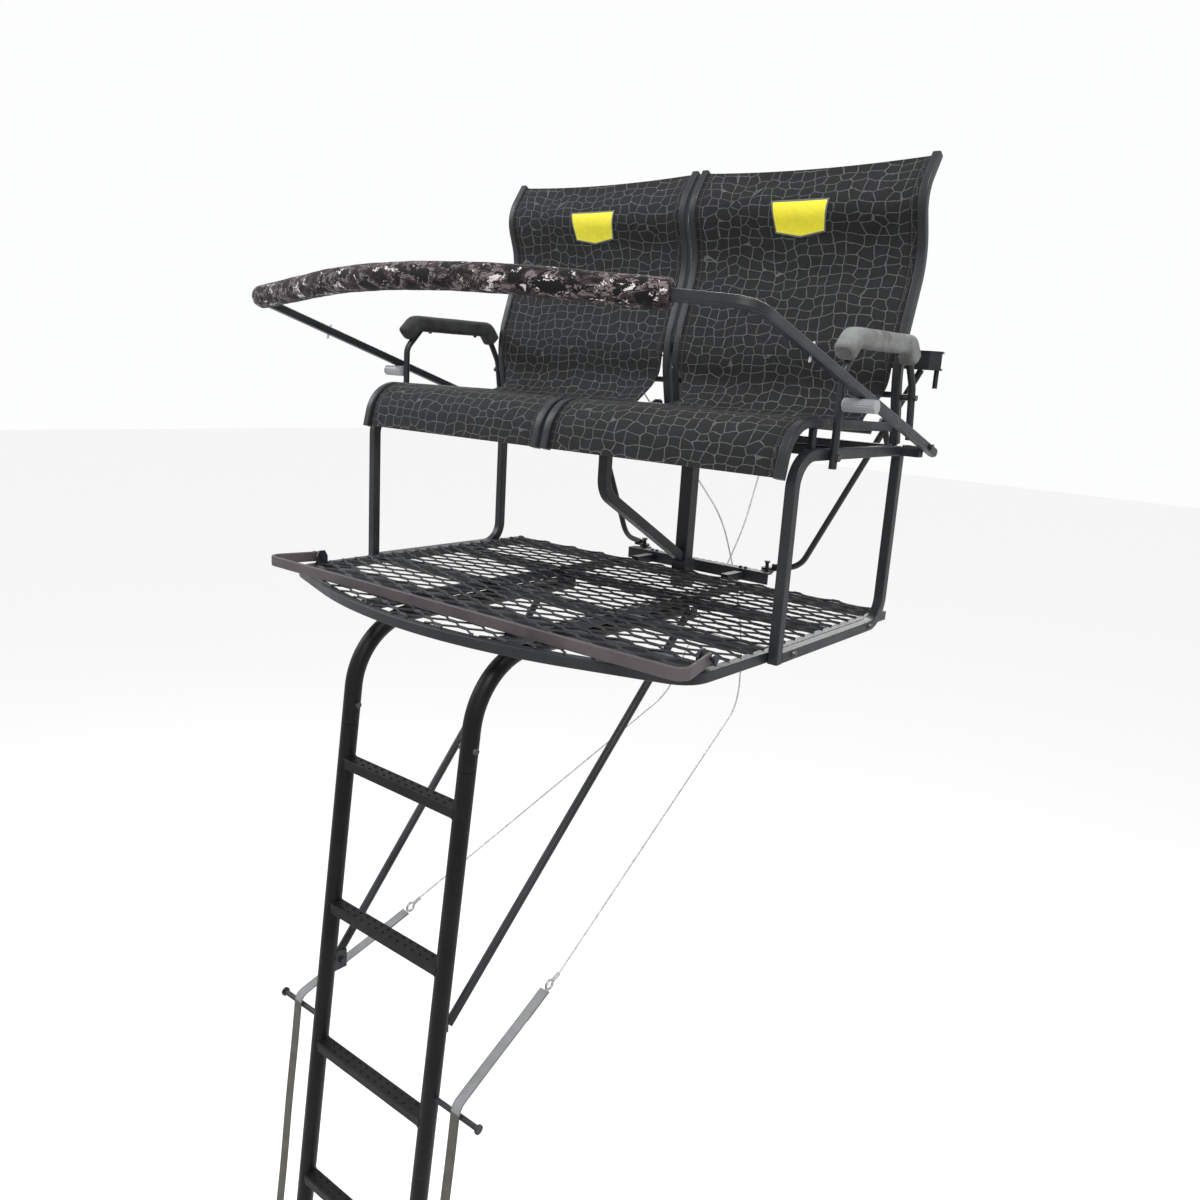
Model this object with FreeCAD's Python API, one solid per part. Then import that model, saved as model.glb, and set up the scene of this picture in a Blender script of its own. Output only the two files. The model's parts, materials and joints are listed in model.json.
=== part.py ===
import FreeCAD, Part
import math
import os

# Two-person ladder stand for watching game from a tree.  Millimetres, +Z up.
# The origin is where the middle of the lower tree blade meets the trunk, the
# sitters face -Y, and +X is the right-hand side seen from the front.

V = FreeCAD.Vector
os.makedirs("parts", exist_ok=True)

# ---- driving dimensions -------------------------------------------------------
FRAME_TUBE = 22.0          # square tube of the side frames and the platform
FRAME_HALF = 619.0         # centre line of each side frame from the middle
WALL = 1.6                 # wall of all steel tube
DECK_Z = -19.0             # centre of the platform tubes
RAIL_Z = 379.0             # centre of the side frames' top rail
POST_FRONT_Y = -671.0
POST_REAR_Y = -189.0
GAP = 0.4                  # air between parts that move past each other

RIM_HALF = 597.0
RIM_REAR_Y = -125.0
RIM_CORNER = (590.0, -925.0)
RIM_APEX_Y = -1135.0
RIM_BOW_R = 1150.0
CROSS_Y = (-378.0, -651.0, -851.0)
CROSS_SHORT = (0.0, 1.2, 6.0)  # how far each stops short, where the rim bends in
LONG_X = 200.0

MESH_LONG = 106.8          # one opening of the expanded metal, along X
MESH_SHORT = 42.0          # and along Y
MESH_STRAND = 3.6
MESH_BOND = 9.0            # half length of a joint between two strands
MESH_THICK = 3.0
DECK_TOP = DECK_Z + FRAME_TUBE / 2

SEAT_TUBE = 20.0
SEAT_OUT = 607.0           # outer side tube of a seat
SEAT_IN = 15.0             # inner side tube of a seat
PAN_PATH = [V(0, -705, 335), V(0, -680, 442), V(0, -232, 430)]
PAN_BEND = 85.0
BACK_PATH = [V(0, -185.4, 393), V(0, -226, 571), V(0, -157, 797), V(0, -204, 923), V(0, -148, 1010)]
BACK_BENDS = [250.0, 170.0, 90.0]
HINGE_Y = -224.0
HINGE_Z = 441.0
SLING = 3.0                # thickness of the sling fabric

ARM_X = 638.5
ARM_TUBE = 16.0
ARM_PATH = [(-551, 352), (-551, 540), (-490, 605), (-258, 607), (-204, 520), (-186, 404)]
PAD_PATH = [(-556, 574), (-524, 606), (-258, 607), (-231, 575)]
PAD_WIDE = 42.0
PAD_TALL = 40.0
PEG_Y = -551.0
PEG_Z = 478.0
PEG_R = 13.5

RAIL_X = 682.0             # shooting rail arms
RAIL_TUBE = 19.0
RAIL_HINGE_Y = -189.0
RAIL_HINGE_Z = 392.0
RAIL_SLOPE = 0.305
RAIL_CORNER_Y = -974.0
RAIL_BOW = 150.0
RAIL_TAIL_Y = -146.0
SLEEVE_R = 26.0
BOLT_R = 4.0
RUN = 0.08                 # radial clearance of a pivot bolt

FOOT_Y = -871.0            # footrest pivot
FOOT_Z = 13.0
FOOT_BAR_Y = -995.0
FOOT_BAR_Z = 10.0
FOOT_HALF = 622.0
FOOT_PIVOT_X = 588.0
FOOT_TALL = 25.0
FOOT_THICK = 8.0

STILE_X = 185.0
STILE_R = 19.0
LEAN = 0.106               # stile's step forward for each step down
STILE_Y350 = -1088.0       # stile centre at z = -350
NECK_Z = -49.0
NECK_BEND = 160.0
NECK_REAR_Y = -352.0
NECK_SEAM_Z = -274.0
GROUND_Z = -4852.0
SECTIONS = 3
RUNG_TOP_Z = -350.0
RUNG_PITCH = 336.0
RUNG_COUNT = 14
RUNG_DEEP = 34.0
RUNG_TALL = 24.0

BRACE_R = 9.5
BRACE_FOOT_Z = -830.0
BRACE_TOP_Y = -389.0

POST_SIDE = 38.0
POST_Y = -92.0
SPINE_SIDE = 25.4
SPINE_Y = -466.0
UPPER_Z = 585.0            # upper tree brace
UPPER_Y = -124.0
JAW_X = 208.0              # upright hinge axis of each tree jaw
JAW_Y = 8.0
JAW_STRUT_R = 8.0

TRUNK_X = -50.0            # the trunk that the cables go round
TRUNK_Y = 121.0
CABLE_ROUND = 124.0
CABLE_OUTER = 8.0          # the right cable crosses outside the left one
CABLE_R = 2.5
EYE_X = 268.0
EYE_Y = -84.0
EYE_Z = 548.0
STRAP_PEG_Z = -975.0
STRAP_PEG_X = 268.0
STRAP_WIDE = 25.0
STRAP_THICK = 2.0
BUCKLE_Z = -3350.0


# ---- helpers ------------------------------------------------------------------
def path_wire(points, radii):
    """Straight runs joined by tangent arcs; one radius for each inner point."""
    edges = []
    here = points[0]
    for i in range(1, len(points) - 1):
        into = (points[i] - points[i - 1]).normalize()
        out = (points[i + 1] - points[i]).normalize()
        half = into.getAngle(out) / 2
        reach = radii[i - 1] * math.tan(half)
        start = points[i] - into * reach
        end = points[i] + out * reach
        inward = (out - into).normalize()
        middle = points[i] + inward * (radii[i - 1] / math.cos(half) - radii[i - 1])
        edges.append(Part.LineSegment(here, start).toShape())
        edges.append(Part.Arc(start, middle, end).toShape())
        here = end
    edges.append(Part.LineSegment(here, points[-1]).toShape())
    return Part.Wire(edges)


def rounded_profile(origin, a_dir, b_dir, a, b, r):
    """Rectangle a by b with corner radius r, centred on origin."""
    edges = []
    last = None
    first = None
    for i, (sa, sb) in enumerate(((1, 1), (-1, 1), (-1, -1), (1, -1))):
        centre = origin + a_dir * (sa * (a / 2 - r)) + b_dir * (sb * (b / 2 - r))
        spots = []
        for step in (0, 45, 90):
            angle = math.radians(i * 90 + step)
            spots.append(centre + a_dir * (r * math.cos(angle)) + b_dir * (r * math.sin(angle)))
        if last is not None:
            edges.append(Part.LineSegment(last, spots[0]).toShape())
        else:
            first = spots[0]
        edges.append(Part.Arc(*spots).toShape())
        last = spots[2]
    edges.append(Part.LineSegment(last, first).toShape())
    return Part.Wire(edges)


def sweep(points, radii, profile_at):
    """Solid swept along a path; profile_at(start, direction) gives its outline."""
    direction = (points[1] - points[0]).normalize()
    shell = path_wire(points, radii).makePipeShell([profile_at(points[0], direction)], True, False)
    return shell if shell.ShapeType == "Solid" else Part.Solid(shell.Shells[0])


def trimmed(points, cut):
    """The same path with each end drawn in by cut."""
    first = points[0] + (points[1] - points[0]).normalize() * cut
    last = points[-1] + (points[-2] - points[-1]).normalize() * cut
    return [first] + list(points[1:-1]) + [last]


def bar(points, radii, up, a, b, corner):
    """Solid bar of rounded-rectangle section, a along up and b across it."""
    def outline(start, direction):
        side = direction.cross(up).normalize()
        return rounded_profile(start, side.cross(direction), side, a, b, corner)
    return sweep(points, radii, outline)


def rod(points, radii, r):
    """Round bar along a path."""
    def outline(start, direction):
        return Part.Wire([Part.Circle(start, direction, r).toShape()])
    return sweep(points, radii, outline)


def square_tube(points, radii, up, side, corner=2.5):
    """Square tube with closed ends along a path."""
    outer = bar(points, radii, up, side, side, corner)
    hollow = side - 2 * WALL
    return outer.cut(bar(trimmed(points, WALL), radii, up, hollow, hollow, max(corner - WALL, 0.6)))


def round_tube(points, radii, r):
    """Round tube with closed ends along a path."""
    return rod(points, radii, r).cut(rod(trimmed(points, WALL), radii, r - WALL))


def box(x0, x1, y0, y1, z0, z1):
    return Part.makeBox(x1 - x0, y1 - y0, z1 - z0, V(x0, y0, z0))


def along_x(x0, x1, y, z, r):
    """Round bar parallel to X."""
    return Part.makeCylinder(r, x1 - x0, V(x0, y, z), V(1, 0, 0))


def plate_x(outline, x, thick):
    """Flat plate normal to X from its (y, z) outline."""
    corners = [V(x, y, z) for y, z in outline]
    return Part.Face(Part.makePolygon(corners + corners[:1])).extrude(V(thick, 0, 0))


def plate_z(outline, z, thick):
    """Flat plate normal to Z from its (x, y) outline."""
    corners = [V(x, y, z) for x, y in outline]
    return Part.Face(Part.makePolygon(corners + corners[:1])).extrude(V(0, 0, thick))


def mirrored(shape):
    return shape.mirror(V(0, 0, 0), V(1, 0, 0))


def at_x(points, x):
    return [V(x, p.y, p.z) for p in points]


def yz(points, x):
    return [V(x, y, z) for y, z in points]


def save(name, *solids):
    shape = solids[0] if len(solids) == 1 else Part.makeCompound(list(solids))
    if not shape.isValid():
        print("INVALID", name)
    shape.exportStep("parts/" + name + ".step")
    print(name, len(shape.Solids), round(shape.Volume))


def save_pair(name, shape):
    """A right-hand part and its mirror image."""
    solids = shape if isinstance(shape, list) else [shape]
    save(name + "_right", *solids)
    save(name + "_left", *[mirrored(s) for s in solids])


# ---- side frames and platform ---------------------------------------------------
def side_frame():
    """One tube: front post, top rail, rear post and bottom rail, back to the post."""
    half = FRAME_TUBE / 2
    loop = [(POST_FRONT_Y, DECK_Z - half), (POST_FRONT_Y, RAIL_Z), (POST_REAR_Y, RAIL_Z),
            (POST_REAR_Y, DECK_Z), (POST_FRONT_Y + half + GAP, DECK_Z)]
    return square_tube(yz(loop, FRAME_HALF), [65.0, 16.0, 60.0], V(1, 0, 0), FRAME_TUBE)


def rim_points():
    rear = RIM_REAR_Y + FRAME_TUBE / 2
    x, y = RIM_CORNER
    return [V(-RIM_HALF, rear, DECK_Z), V(-RIM_HALF, -640, DECK_Z), V(-x, y, DECK_Z),
            V(0, RIM_APEX_Y, DECK_Z), V(x, y, DECK_Z), V(RIM_HALF, -640, DECK_Z),
            V(RIM_HALF, rear, DECK_Z)]


def platform_rim():
    """Outer tube: two sides and a front that bows out."""
    return square_tube(rim_points(), [400.0, 60.0, RIM_BOW_R, 60.0, 400.0], V(0, 0, 1), FRAME_TUBE)


def straight_x(x0, x1, y, z, side):
    return square_tube([V(x0, y, z), V(x1, y, z)], [], V(0, 0, 1), side)


def cross_tubes():
    inner = RIM_HALF - FRAME_TUBE / 2
    rows = []
    for y, short in zip(CROSS_Y, CROSS_SHORT):
        rows.append(straight_x(-inner + short, inner - short, y, DECK_Z, FRAME_TUBE))
    return rows


def long_tubes():
    """Short tubes between the cross tubes, two to each bay."""
    half = FRAME_TUBE / 2
    rows = (RIM_REAR_Y,) + CROSS_Y
    ends = [(a - half, b + half) for a, b in zip(rows, rows[1:])] + [(CROSS_Y[2] - half, -1031.0)]
    found = []
    for x in (-LONG_X, LONG_X):
        for y0, y1 in ends:
            found.append(square_tube([V(x, y0, DECK_Z), V(x, y1, DECK_Z)], [], V(0, 0, 1), FRAME_TUBE))
    return found


def clip(polygon, a, b):
    """The part of a polygon to the left of the line from a to b."""
    kept = []
    for i, p in enumerate(polygon):
        q = polygon[(i + 1) % len(polygon)]
        side_p = (b[0] - a[0]) * (p[1] - a[1]) - (b[1] - a[1]) * (p[0] - a[0])
        side_q = (b[0] - a[0]) * (q[1] - a[1]) - (b[1] - a[1]) * (q[0] - a[0])
        if side_p >= 0:
            kept.append(p)
        if side_p * side_q < 0:
            t = side_p / (side_p - side_q)
            kept.append((p[0] + t * (q[0] - p[0]), p[1] + t * (q[1] - p[1])))
    return kept


def polygon_area(polygon):
    total = 0.0
    for i, p in enumerate(polygon):
        q = polygon[(i + 1) % len(polygon)]
        total += p[0] * q[1] - q[0] * p[1]
    return total / 2


def deck_outline(inset):
    """The deck's convex edge, anticlockwise, drawn in by inset."""
    x, y = RIM_CORNER
    bow = []
    slope = (y - RIM_APEX_Y) / x
    crown = RIM_APEX_Y + RIM_BOW_R * (math.sqrt(1 + slope * slope) - 1)
    reach = RIM_BOW_R * slope / math.sqrt(1 + slope * slope)
    for k in range(-4, 5):
        step = reach * k / 4
        bow.append((step, crown + RIM_BOW_R - math.sqrt(RIM_BOW_R ** 2 - step ** 2) + inset))
    corner = 20.0
    left = [(-RIM_HALF + inset, RIM_REAR_Y - inset), (-RIM_HALF + inset, -640),
            (-x + inset, y + corner + inset), (-x + corner * 1.6 + inset, y - 8 + inset)]
    right = [(-px, py) for px, py in reversed(left)]
    return left + bow + right


def deck_mesh():
    """Flattened expanded metal: staggered six-sided openings, cut off at the rim."""
    edge = deck_outline(3.0)
    hole_edge = deck_outline(9.0)
    run = MESH_LONG / 2 - 2 * MESH_BOND
    rise = MESH_SHORT / 2
    slope = math.hypot(run, rise)
    half = MESH_STRAND / 2
    a = MESH_LONG / 2 - MESH_BOND - half * slope / rise
    b = MESH_BOND + (half * run - half * slope) / rise
    h = rise - half
    columns = int(RIM_HALF / MESH_LONG) + 2
    rows = int(1200 / MESH_SHORT) * 2 + 4
    holes = []
    for j in range(rows):
        y = RIM_REAR_Y - j * MESH_SHORT / 2
        shift = MESH_LONG / 2 if j % 2 else 0.0
        for i in range(-columns, columns + 1):
            x = i * MESH_LONG + shift
            cell = [(x + a, y), (x + b, y + h), (x - b, y + h),
                    (x - a, y), (x - b, y - h), (x + b, y - h)]
            for k, start in enumerate(hole_edge):
                cell = clip(cell, start, hole_edge[(k + 1) % len(hole_edge)])
                if len(cell) < 3:
                    break
            if len(cell) >= 3 and polygon_area(cell) > 60.0:
                holes.append(cell)
    wires = []
    for outline in [edge] + holes:
        tidy = [p for i, p in enumerate(outline)
                if math.hypot(p[0] - outline[i - 1][0], p[1] - outline[i - 1][1]) > 0.5]
        spots = [V(px, py, DECK_TOP) for px, py in tidy]
        wires.append(Part.makePolygon(spots + spots[:1]))
    face = Part.Face(wires)
    face.validate()
    return face.extrude(V(0, 0, MESH_THICK))


# ---- seats ----------------------------------------------------------------------
def seat_centre():
    return (SEAT_OUT + SEAT_IN) / 2


def pan_frame():
    """Two side tubes with a waterfall front, two spreaders, lugs and rest legs."""
    parts = []
    for x in (SEAT_IN, SEAT_OUT):
        parts.append(square_tube(at_x(PAN_PATH, x), [PAN_BEND], V(1, 0, 0), SEAT_TUBE, 4.0))
    inner = SEAT_IN + SEAT_TUBE / 2
    outer = SEAT_OUT - SEAT_TUBE / 2
    parts.append(round_tube([V(inner, -690, 362), V(outer, -690, 362)], [], 7.0))
    parts.append(round_tube([V(inner, -300, 421), V(outer, -300, 421)], [], 7.0))
    rail_top = RAIL_Z + FRAME_TUBE / 2 + GAP
    for x, y in ((SEAT_IN, SPINE_Y), (SEAT_OUT + 5, -598.0)):
        parts.append(box(x - 5, x + 5, y - 8, y + 8, rail_top, pan_z(y + 8) - SEAT_TUBE / 2 - 0.1))
    return parts


def pan_z(y):
    """Height of the pan's side tubes along their straight run."""
    near, far = PAN_PATH[1], PAN_PATH[2]
    return near.z + (far.z - near.z) * (y - near.y) / (far.y - near.y)


def pan_lugs():
    """Plates that hang the pan's side tubes on the hinge bolts."""
    lugs = []
    outline = [(-260, 439), (-240, 449), (HINGE_Y + 6, 449), (HINGE_Y + 9, 441),
               (HINGE_Y + 6, 433), (-240, 422), (-260, 422)]
    for x in (SEAT_IN + SEAT_TUBE / 2, SEAT_OUT - SEAT_TUBE / 2 - 4):
        lug = plate_x(outline, x, 4.0)
        lugs.append(lug.cut(along_x(x - 1, x + 5, HINGE_Y, HINGE_Z, BOLT_R + RUN)))
    return lugs


def pan_sling():
    path = [V(0, -705, 337), V(0, -680, 449), V(0, -262, 441)]
    width = SEAT_OUT - SEAT_IN - SEAT_TUBE
    return bar(at_x(path, seat_centre()), [PAN_BEND + 7], V(1, 0, 0), width, SLING, 0.8)


def back_frame():
    """Two S-shaped side tubes and two spreaders behind the fabric."""
    parts = []
    for x in (SEAT_IN, SEAT_OUT):
        parts.append(square_tube(at_x(BACK_PATH, x), BACK_BENDS, V(1, 0, 0), SEAT_TUBE, 4.0))
    inner = SEAT_IN + SEAT_TUBE / 2
    outer = SEAT_OUT - SEAT_TUBE / 2
    for y, z in ((-158, 797), (-204, 500)):
        parts.append(round_tube([V(inner, y, z), V(outer, y, z)], [], 7.0))
    return parts


def back_sling():
    path = [V(0, -210, 478), V(0, -230, 571), V(0, -163, 797), V(0, -210, 923), V(0, -156, 1006)]
    width = SEAT_OUT - SEAT_IN - SEAT_TUBE
    return bar(at_x(path, seat_centre()), [150.0, 170.0, 90.0], V(1, 0, 0), width, SLING, 0.8)


def hinge_plates():
    """Brackets that lean forward from the rear cross tube to the hinge bolts."""
    foot = RAIL_Z + FRAME_TUBE / 2
    outline = [(POST_REAR_Y - 11, foot), (POST_REAR_Y + 11, foot), (POST_REAR_Y + 11, foot + 6),
               (HINGE_Y + 9, HINGE_Z + 8), (HINGE_Y - 9, HINGE_Z + 8), (HINGE_Y - 9, HINGE_Z - 6)]
    plates = []
    for x in (SEAT_IN + SEAT_TUBE / 2 + 4 + GAP, SEAT_OUT - SEAT_TUBE / 2 - 8 - GAP):
        plate = plate_x(outline, x, 4.0)
        plates.append(plate.cut(along_x(x - 1, x + 5, HINGE_Y, HINGE_Z, BOLT_R + RUN)))
    return plates


def hinge_bolts():
    """Bolt through each bracket and lug, with a head inside and a nut outside."""
    bolts = []
    reach = 8.0 + 2 * GAP
    for start, way in ((SEAT_IN + SEAT_TUBE / 2, 1), (SEAT_OUT - SEAT_TUBE / 2, -1)):
        shank = Part.makeCylinder(BOLT_R, reach + GAP, V(start - way * GAP, HINGE_Y, HINGE_Z), V(way, 0, 0))
        head = Part.makeCylinder(7.0, 5.0, V(start + way * reach, HINGE_Y, HINGE_Z), V(way, 0, 0))
        nut = Part.makeCylinder(6.5, 5.0, V(start - way * GAP, HINGE_Y, HINGE_Z), V(-way, 0, 0))
        bolts.append(shank.fuse([head, nut]))
    return bolts


# ---- armrests -------------------------------------------------------------------
def arm_tube_solid():
    return rod(yz(ARM_PATH, ARM_X), [38.0, 34.0, 34.0, 60.0], ARM_TUBE / 2)


def arm_tube():
    return round_tube(yz(ARM_PATH, ARM_X), [38.0, 34.0, 34.0, 60.0], ARM_TUBE / 2)


def arm_pad():
    pad = bar(yz(PAD_PATH, ARM_X), [24.0, 22.0], V(1, 0, 0), PAD_WIDE, PAD_TALL, 15.0)
    return pad.cut(arm_tube_solid())


def arm_screws():
    """Two screws under the pad, through the tube."""
    found = []
    pad = bar(yz(PAD_PATH, ARM_X), [24.0, 22.0], V(1, 0, 0), PAD_WIDE, PAD_TALL + 0.8, 15.0)
    for y in (-470.0, -300.0):
        found.append(Part.makeCone(5.5, 3.5, 5.0, V(ARM_X, y, 587.0), V(0, 0, -1)).cut(pad))
    return found


def arm_bolts():
    """Front bolt into the top rail; rear bolt and its spacer to the back's tube."""
    inner = ARM_X - ARM_TUBE / 2
    front = Part.makeCylinder(7.0, 7.0, V(ARM_X + 6.0, ARM_PATH[0][0], 374), V(1, 0, 0)).cut(arm_tube_solid())
    spacer = along_x(SEAT_OUT + SEAT_TUBE / 2, inner + 2, -198.0, 496.0, 7.0).cut(arm_tube_solid())
    nut = Part.makeCylinder(6.5, 6.0, V(ARM_X + 6.5, -201.0, 496.0), V(1, 0, 0)).cut(arm_tube_solid())
    return [front, spacer, nut]


def rest_peg():
    """Ribbed sleeve on a pin; the shooting rail's arm lies on it."""
    start = ARM_X + ARM_TUBE / 2 + 2
    end = start + 68.0
    body = along_x(start, end, PEG_Y, PEG_Z, PEG_R)
    ribs = 18
    for k in range(ribs):
        angle = 2 * math.pi * k / ribs
        body = body.cut(along_x(start + 3, end - 3, PEG_Y + (PEG_R + 0.6) * math.cos(angle),
                                PEG_Z + (PEG_R + 0.6) * math.sin(angle), 1.5))
    flange = along_x(start - 2, start, PEG_Y, PEG_Z, PEG_R - 3)
    return body.fuse(flange.cut(arm_tube_solid()))


# ---- shooting rail ----------------------------------------------------------------
def rail_z(y):
    return RAIL_HINGE_Z + RAIL_SLOPE * (RAIL_HINGE_Y - y)


def rail_points():
    """U in one sloping plane; the front run bows forward."""
    half = [(RAIL_X, RAIL_TAIL_Y), (RAIL_X, RAIL_CORNER_Y)]
    left = [V(-x, y, rail_z(y)) for x, y in half]
    right = [V(x, y, rail_z(y)) for x, y in reversed(half)]
    apex = RAIL_CORNER_Y - RAIL_BOW
    return left + [V(0, apex, rail_z(apex))] + right


RAIL_BENDS = [50.0, 1500.0, 50.0]


def rail_up():
    return V(0, RAIL_SLOPE, 1).normalize()


def shooting_rail_tube():
    tube = square_tube(rail_points(), RAIL_BENDS, rail_up(), RAIL_TUBE, 4.0)
    bore = along_x(-RAIL_X - 20, RAIL_X + 20, RAIL_HINGE_Y, RAIL_HINGE_Z, BOLT_R + RUN)
    return tube.cut(bore)


def rail_sleeve():
    """Padded cover on the front run; it stops short of the right-hand corner."""
    cover = rod(rail_points()[1:4], RAIL_BENDS[1:2], SLEEVE_R)
    bounds = box(-655, 545, -1300, -800, 500, 800)
    tube = bar(rail_points(), RAIL_BENDS, rail_up(), RAIL_TUBE, RAIL_TUBE, 4.0)
    return cover.common(bounds).cut(tube)


def rail_caps():
    """Plug in the open rear end of each arm."""
    caps = []
    for side in (-1, 1):
        end = V(side * RAIL_X, RAIL_TAIL_Y, rail_z(RAIL_TAIL_Y))
        along = V(0, 1, -RAIL_SLOPE).normalize()
        caps.append(Part.makeCylinder(10.5, 3.5, end, along))
    return caps


def rail_pins():
    """Stop pin through each arm, standing out above and below."""
    pins = []
    y = -770.0
    for side in (-1, 1):
        spot = V(side * RAIL_X, y, rail_z(y))
        up = rail_up()
        pins.append(Part.makeCylinder(2.5, 7.0, spot + up * (RAIL_TUBE / 2), up))
        pins.append(Part.makeCylinder(2.5, 11.0, spot - up * (RAIL_TUBE / 2), up * -1))
    return pins


def rail_pivots():
    """Pivot bolt of each arm, in a boss on the side frame's rear corner."""
    found = []
    face = FRAME_HALF + FRAME_TUBE / 2
    near = RAIL_X - RAIL_TUBE / 2 - GAP
    for side in (-1, 1):
        boss = Part.makeCylinder(11.0, near - face, V(side * face, RAIL_HINGE_Y, RAIL_HINGE_Z - 10), V(side, 0, 0))
        web = box(face, near, RAIL_HINGE_Y - 11, RAIL_HINGE_Y + 11, RAIL_HINGE_Z - 24, RAIL_HINGE_Z - 8)
        if side < 0:
            web = mirrored(web)
        shank = Part.makeCylinder(BOLT_R, 24.0, V(side * near, RAIL_HINGE_Y, RAIL_HINGE_Z), V(side, 0, 0))
        head = Part.makeCylinder(7.5, 5.0, V(side * (near + RAIL_TUBE + 3 * GAP), RAIL_HINGE_Y, RAIL_HINGE_Z),
                                 V(side, 0, 0))
        found.append(boss.fuse([web, shank, head]))
    return found


# ---- footrest ---------------------------------------------------------------------
def footrest_bar():
    """Flat bar bent to a U, on edge, with a pivot hole near each end."""
    points = [V(-FOOT_PIVOT_X, FOOT_Y + 8, FOOT_BAR_Z), V(-FOOT_HALF, FOOT_BAR_Y, FOOT_BAR_Z),
              V(FOOT_HALF, FOOT_BAR_Y, FOOT_BAR_Z), V(FOOT_PIVOT_X, FOOT_Y + 8, FOOT_BAR_Z)]
    body = bar(points, [22.0, 22.0], V(0, 0, 1), FOOT_TALL, FOOT_THICK, 3.0)
    return body.cut(along_x(-700, 700, FOOT_Y, FOOT_Z, BOLT_R + RUN))


def footrest_brackets():
    """Ear on the platform rim beside each end of the footrest, with its bolt."""
    found = []
    x = FOOT_PIVOT_X - 15.5
    low = DECK_TOP + MESH_THICK
    outline = [(FOOT_Y - 16, low), (FOOT_Y + 16, low), (FOOT_Y + 16, FOOT_Z),
               (FOOT_Y + 8, FOOT_Z + 14), (FOOT_Y - 8, FOOT_Z + 14), (FOOT_Y - 16, FOOT_Z)]
    for side in (-1, 1):
        ear = plate_x(outline, x, 5.0)
        shank = along_x(x, FOOT_PIVOT_X + 14, FOOT_Y, FOOT_Z, BOLT_R)
        head = Part.makeCylinder(8.0, 6.0, V(FOOT_PIVOT_X + 14, FOOT_Y, FOOT_Z), V(1, 0, 0))
        nut = Part.makeCylinder(7.5, 6.0, V(x - 6, FOOT_Y, FOOT_Z), V(1, 0, 0))
        piece = ear.fuse([shank, head, nut])
        found.append(piece if side > 0 else mirrored(piece))
    return found


# ---- ladder -------------------------------------------------------------------------
def stile_y(z):
    return STILE_Y350 + LEAN * (z - RUNG_TOP_Z)


def gooseneck():
    """Bent top of a stile that curves back under the platform."""
    points = [V(STILE_X, stile_y(NECK_SEAM_Z), NECK_SEAM_Z), V(STILE_X, stile_y(NECK_Z), NECK_Z),
              V(STILE_X, NECK_REAR_Y, NECK_Z)]
    return round_tube(points, [NECK_BEND], STILE_R)


def section_span(index):
    step = (NECK_SEAM_Z - GROUND_Z) / SECTIONS
    top = NECK_SEAM_Z - index * step - 1.0
    return top, NECK_SEAM_Z - (index + 1) * step


def ladder_section(index):
    """Two stiles and the rungs between them."""
    top, low = section_span(index)
    if index == SECTIONS - 1:
        low += 8.0
    stiles = []
    solid_stiles = []
    for x in (-STILE_X, STILE_X):
        ends = [V(x, stile_y(top), top), V(x, stile_y(low), low)]
        stiles.append(round_tube(ends, [], STILE_R))
        solid_stiles.append(rod(ends, [], STILE_R))
    parts = list(stiles)
    for n in range(RUNG_COUNT):
        z = RUNG_TOP_Z - n * RUNG_PITCH
        if low < z < top:
            centre = V(-STILE_X, stile_y(z - RUNG_TALL / 2), z - RUNG_TALL / 2)
            ends = [centre, V(STILE_X, centre.y, centre.z)]
            rung = bar(ends, [], V(0, 0, 1), RUNG_TALL, RUNG_DEEP, 3.0)
            hollow = bar(ends, [], V(0, 0, 1), RUNG_TALL - 2 * WALL, RUNG_DEEP - 2 * WALL, 1.5)
            parts.append(rung.cut(hollow).cut(solid_stiles[0]).cut(solid_stiles[1]))
    return parts


def ladder_feet():
    """Flat plate under each stile with a spike pad."""
    feet = []
    for x in (-STILE_X, STILE_X):
        y = stile_y(GROUND_Z)
        feet.append(box(x - 35, x + 35, y - 40, y + 30, GROUND_Z, GROUND_Z + 5))
    return feet


def joint_bolts():
    """Bolts through the stiles beside each joint."""
    found = []
    for index in range(SECTIONS):
        z = NECK_SEAM_Z - index * (NECK_SEAM_Z - GROUND_Z) / SECTIONS + 44.0
        for side in (-1, 1):
            face = side * (STILE_X + STILE_R - 1.5)
            spot = V(face, stile_y(z), z)
            found.append(Part.makeCone(8.0, 5.0, 6.0, spot, V(side, 0, 0)).cut(stile_solid(side, z)))
            back = V(side * (STILE_X - STILE_R + 1.5), stile_y(z), z)
            found.append(Part.makeCylinder(7.0, 7.0, back, V(-side, 0, 0)).cut(stile_solid(side, z)))
    return found


def stile_solid(side, z):
    """A stretch of stile about height z, for trimming what is bolted to it."""
    ends = [V(side * STILE_X, stile_y(z + 90), z + 90), V(side * STILE_X, stile_y(z - 90), z - 90)]
    return rod(ends, [], STILE_R)


def long_brace():
    """Straight strut from the stile up to the middle cross tube, flattened ends."""
    foot = V(STILE_X, stile_y(BRACE_FOOT_Z) + STILE_R + BRACE_R + 1, BRACE_FOOT_Z)
    top = V(STILE_X + 42, BRACE_TOP_Y, NECK_Z + 7)
    return round_tube([foot, top], [], BRACE_R)


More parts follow.
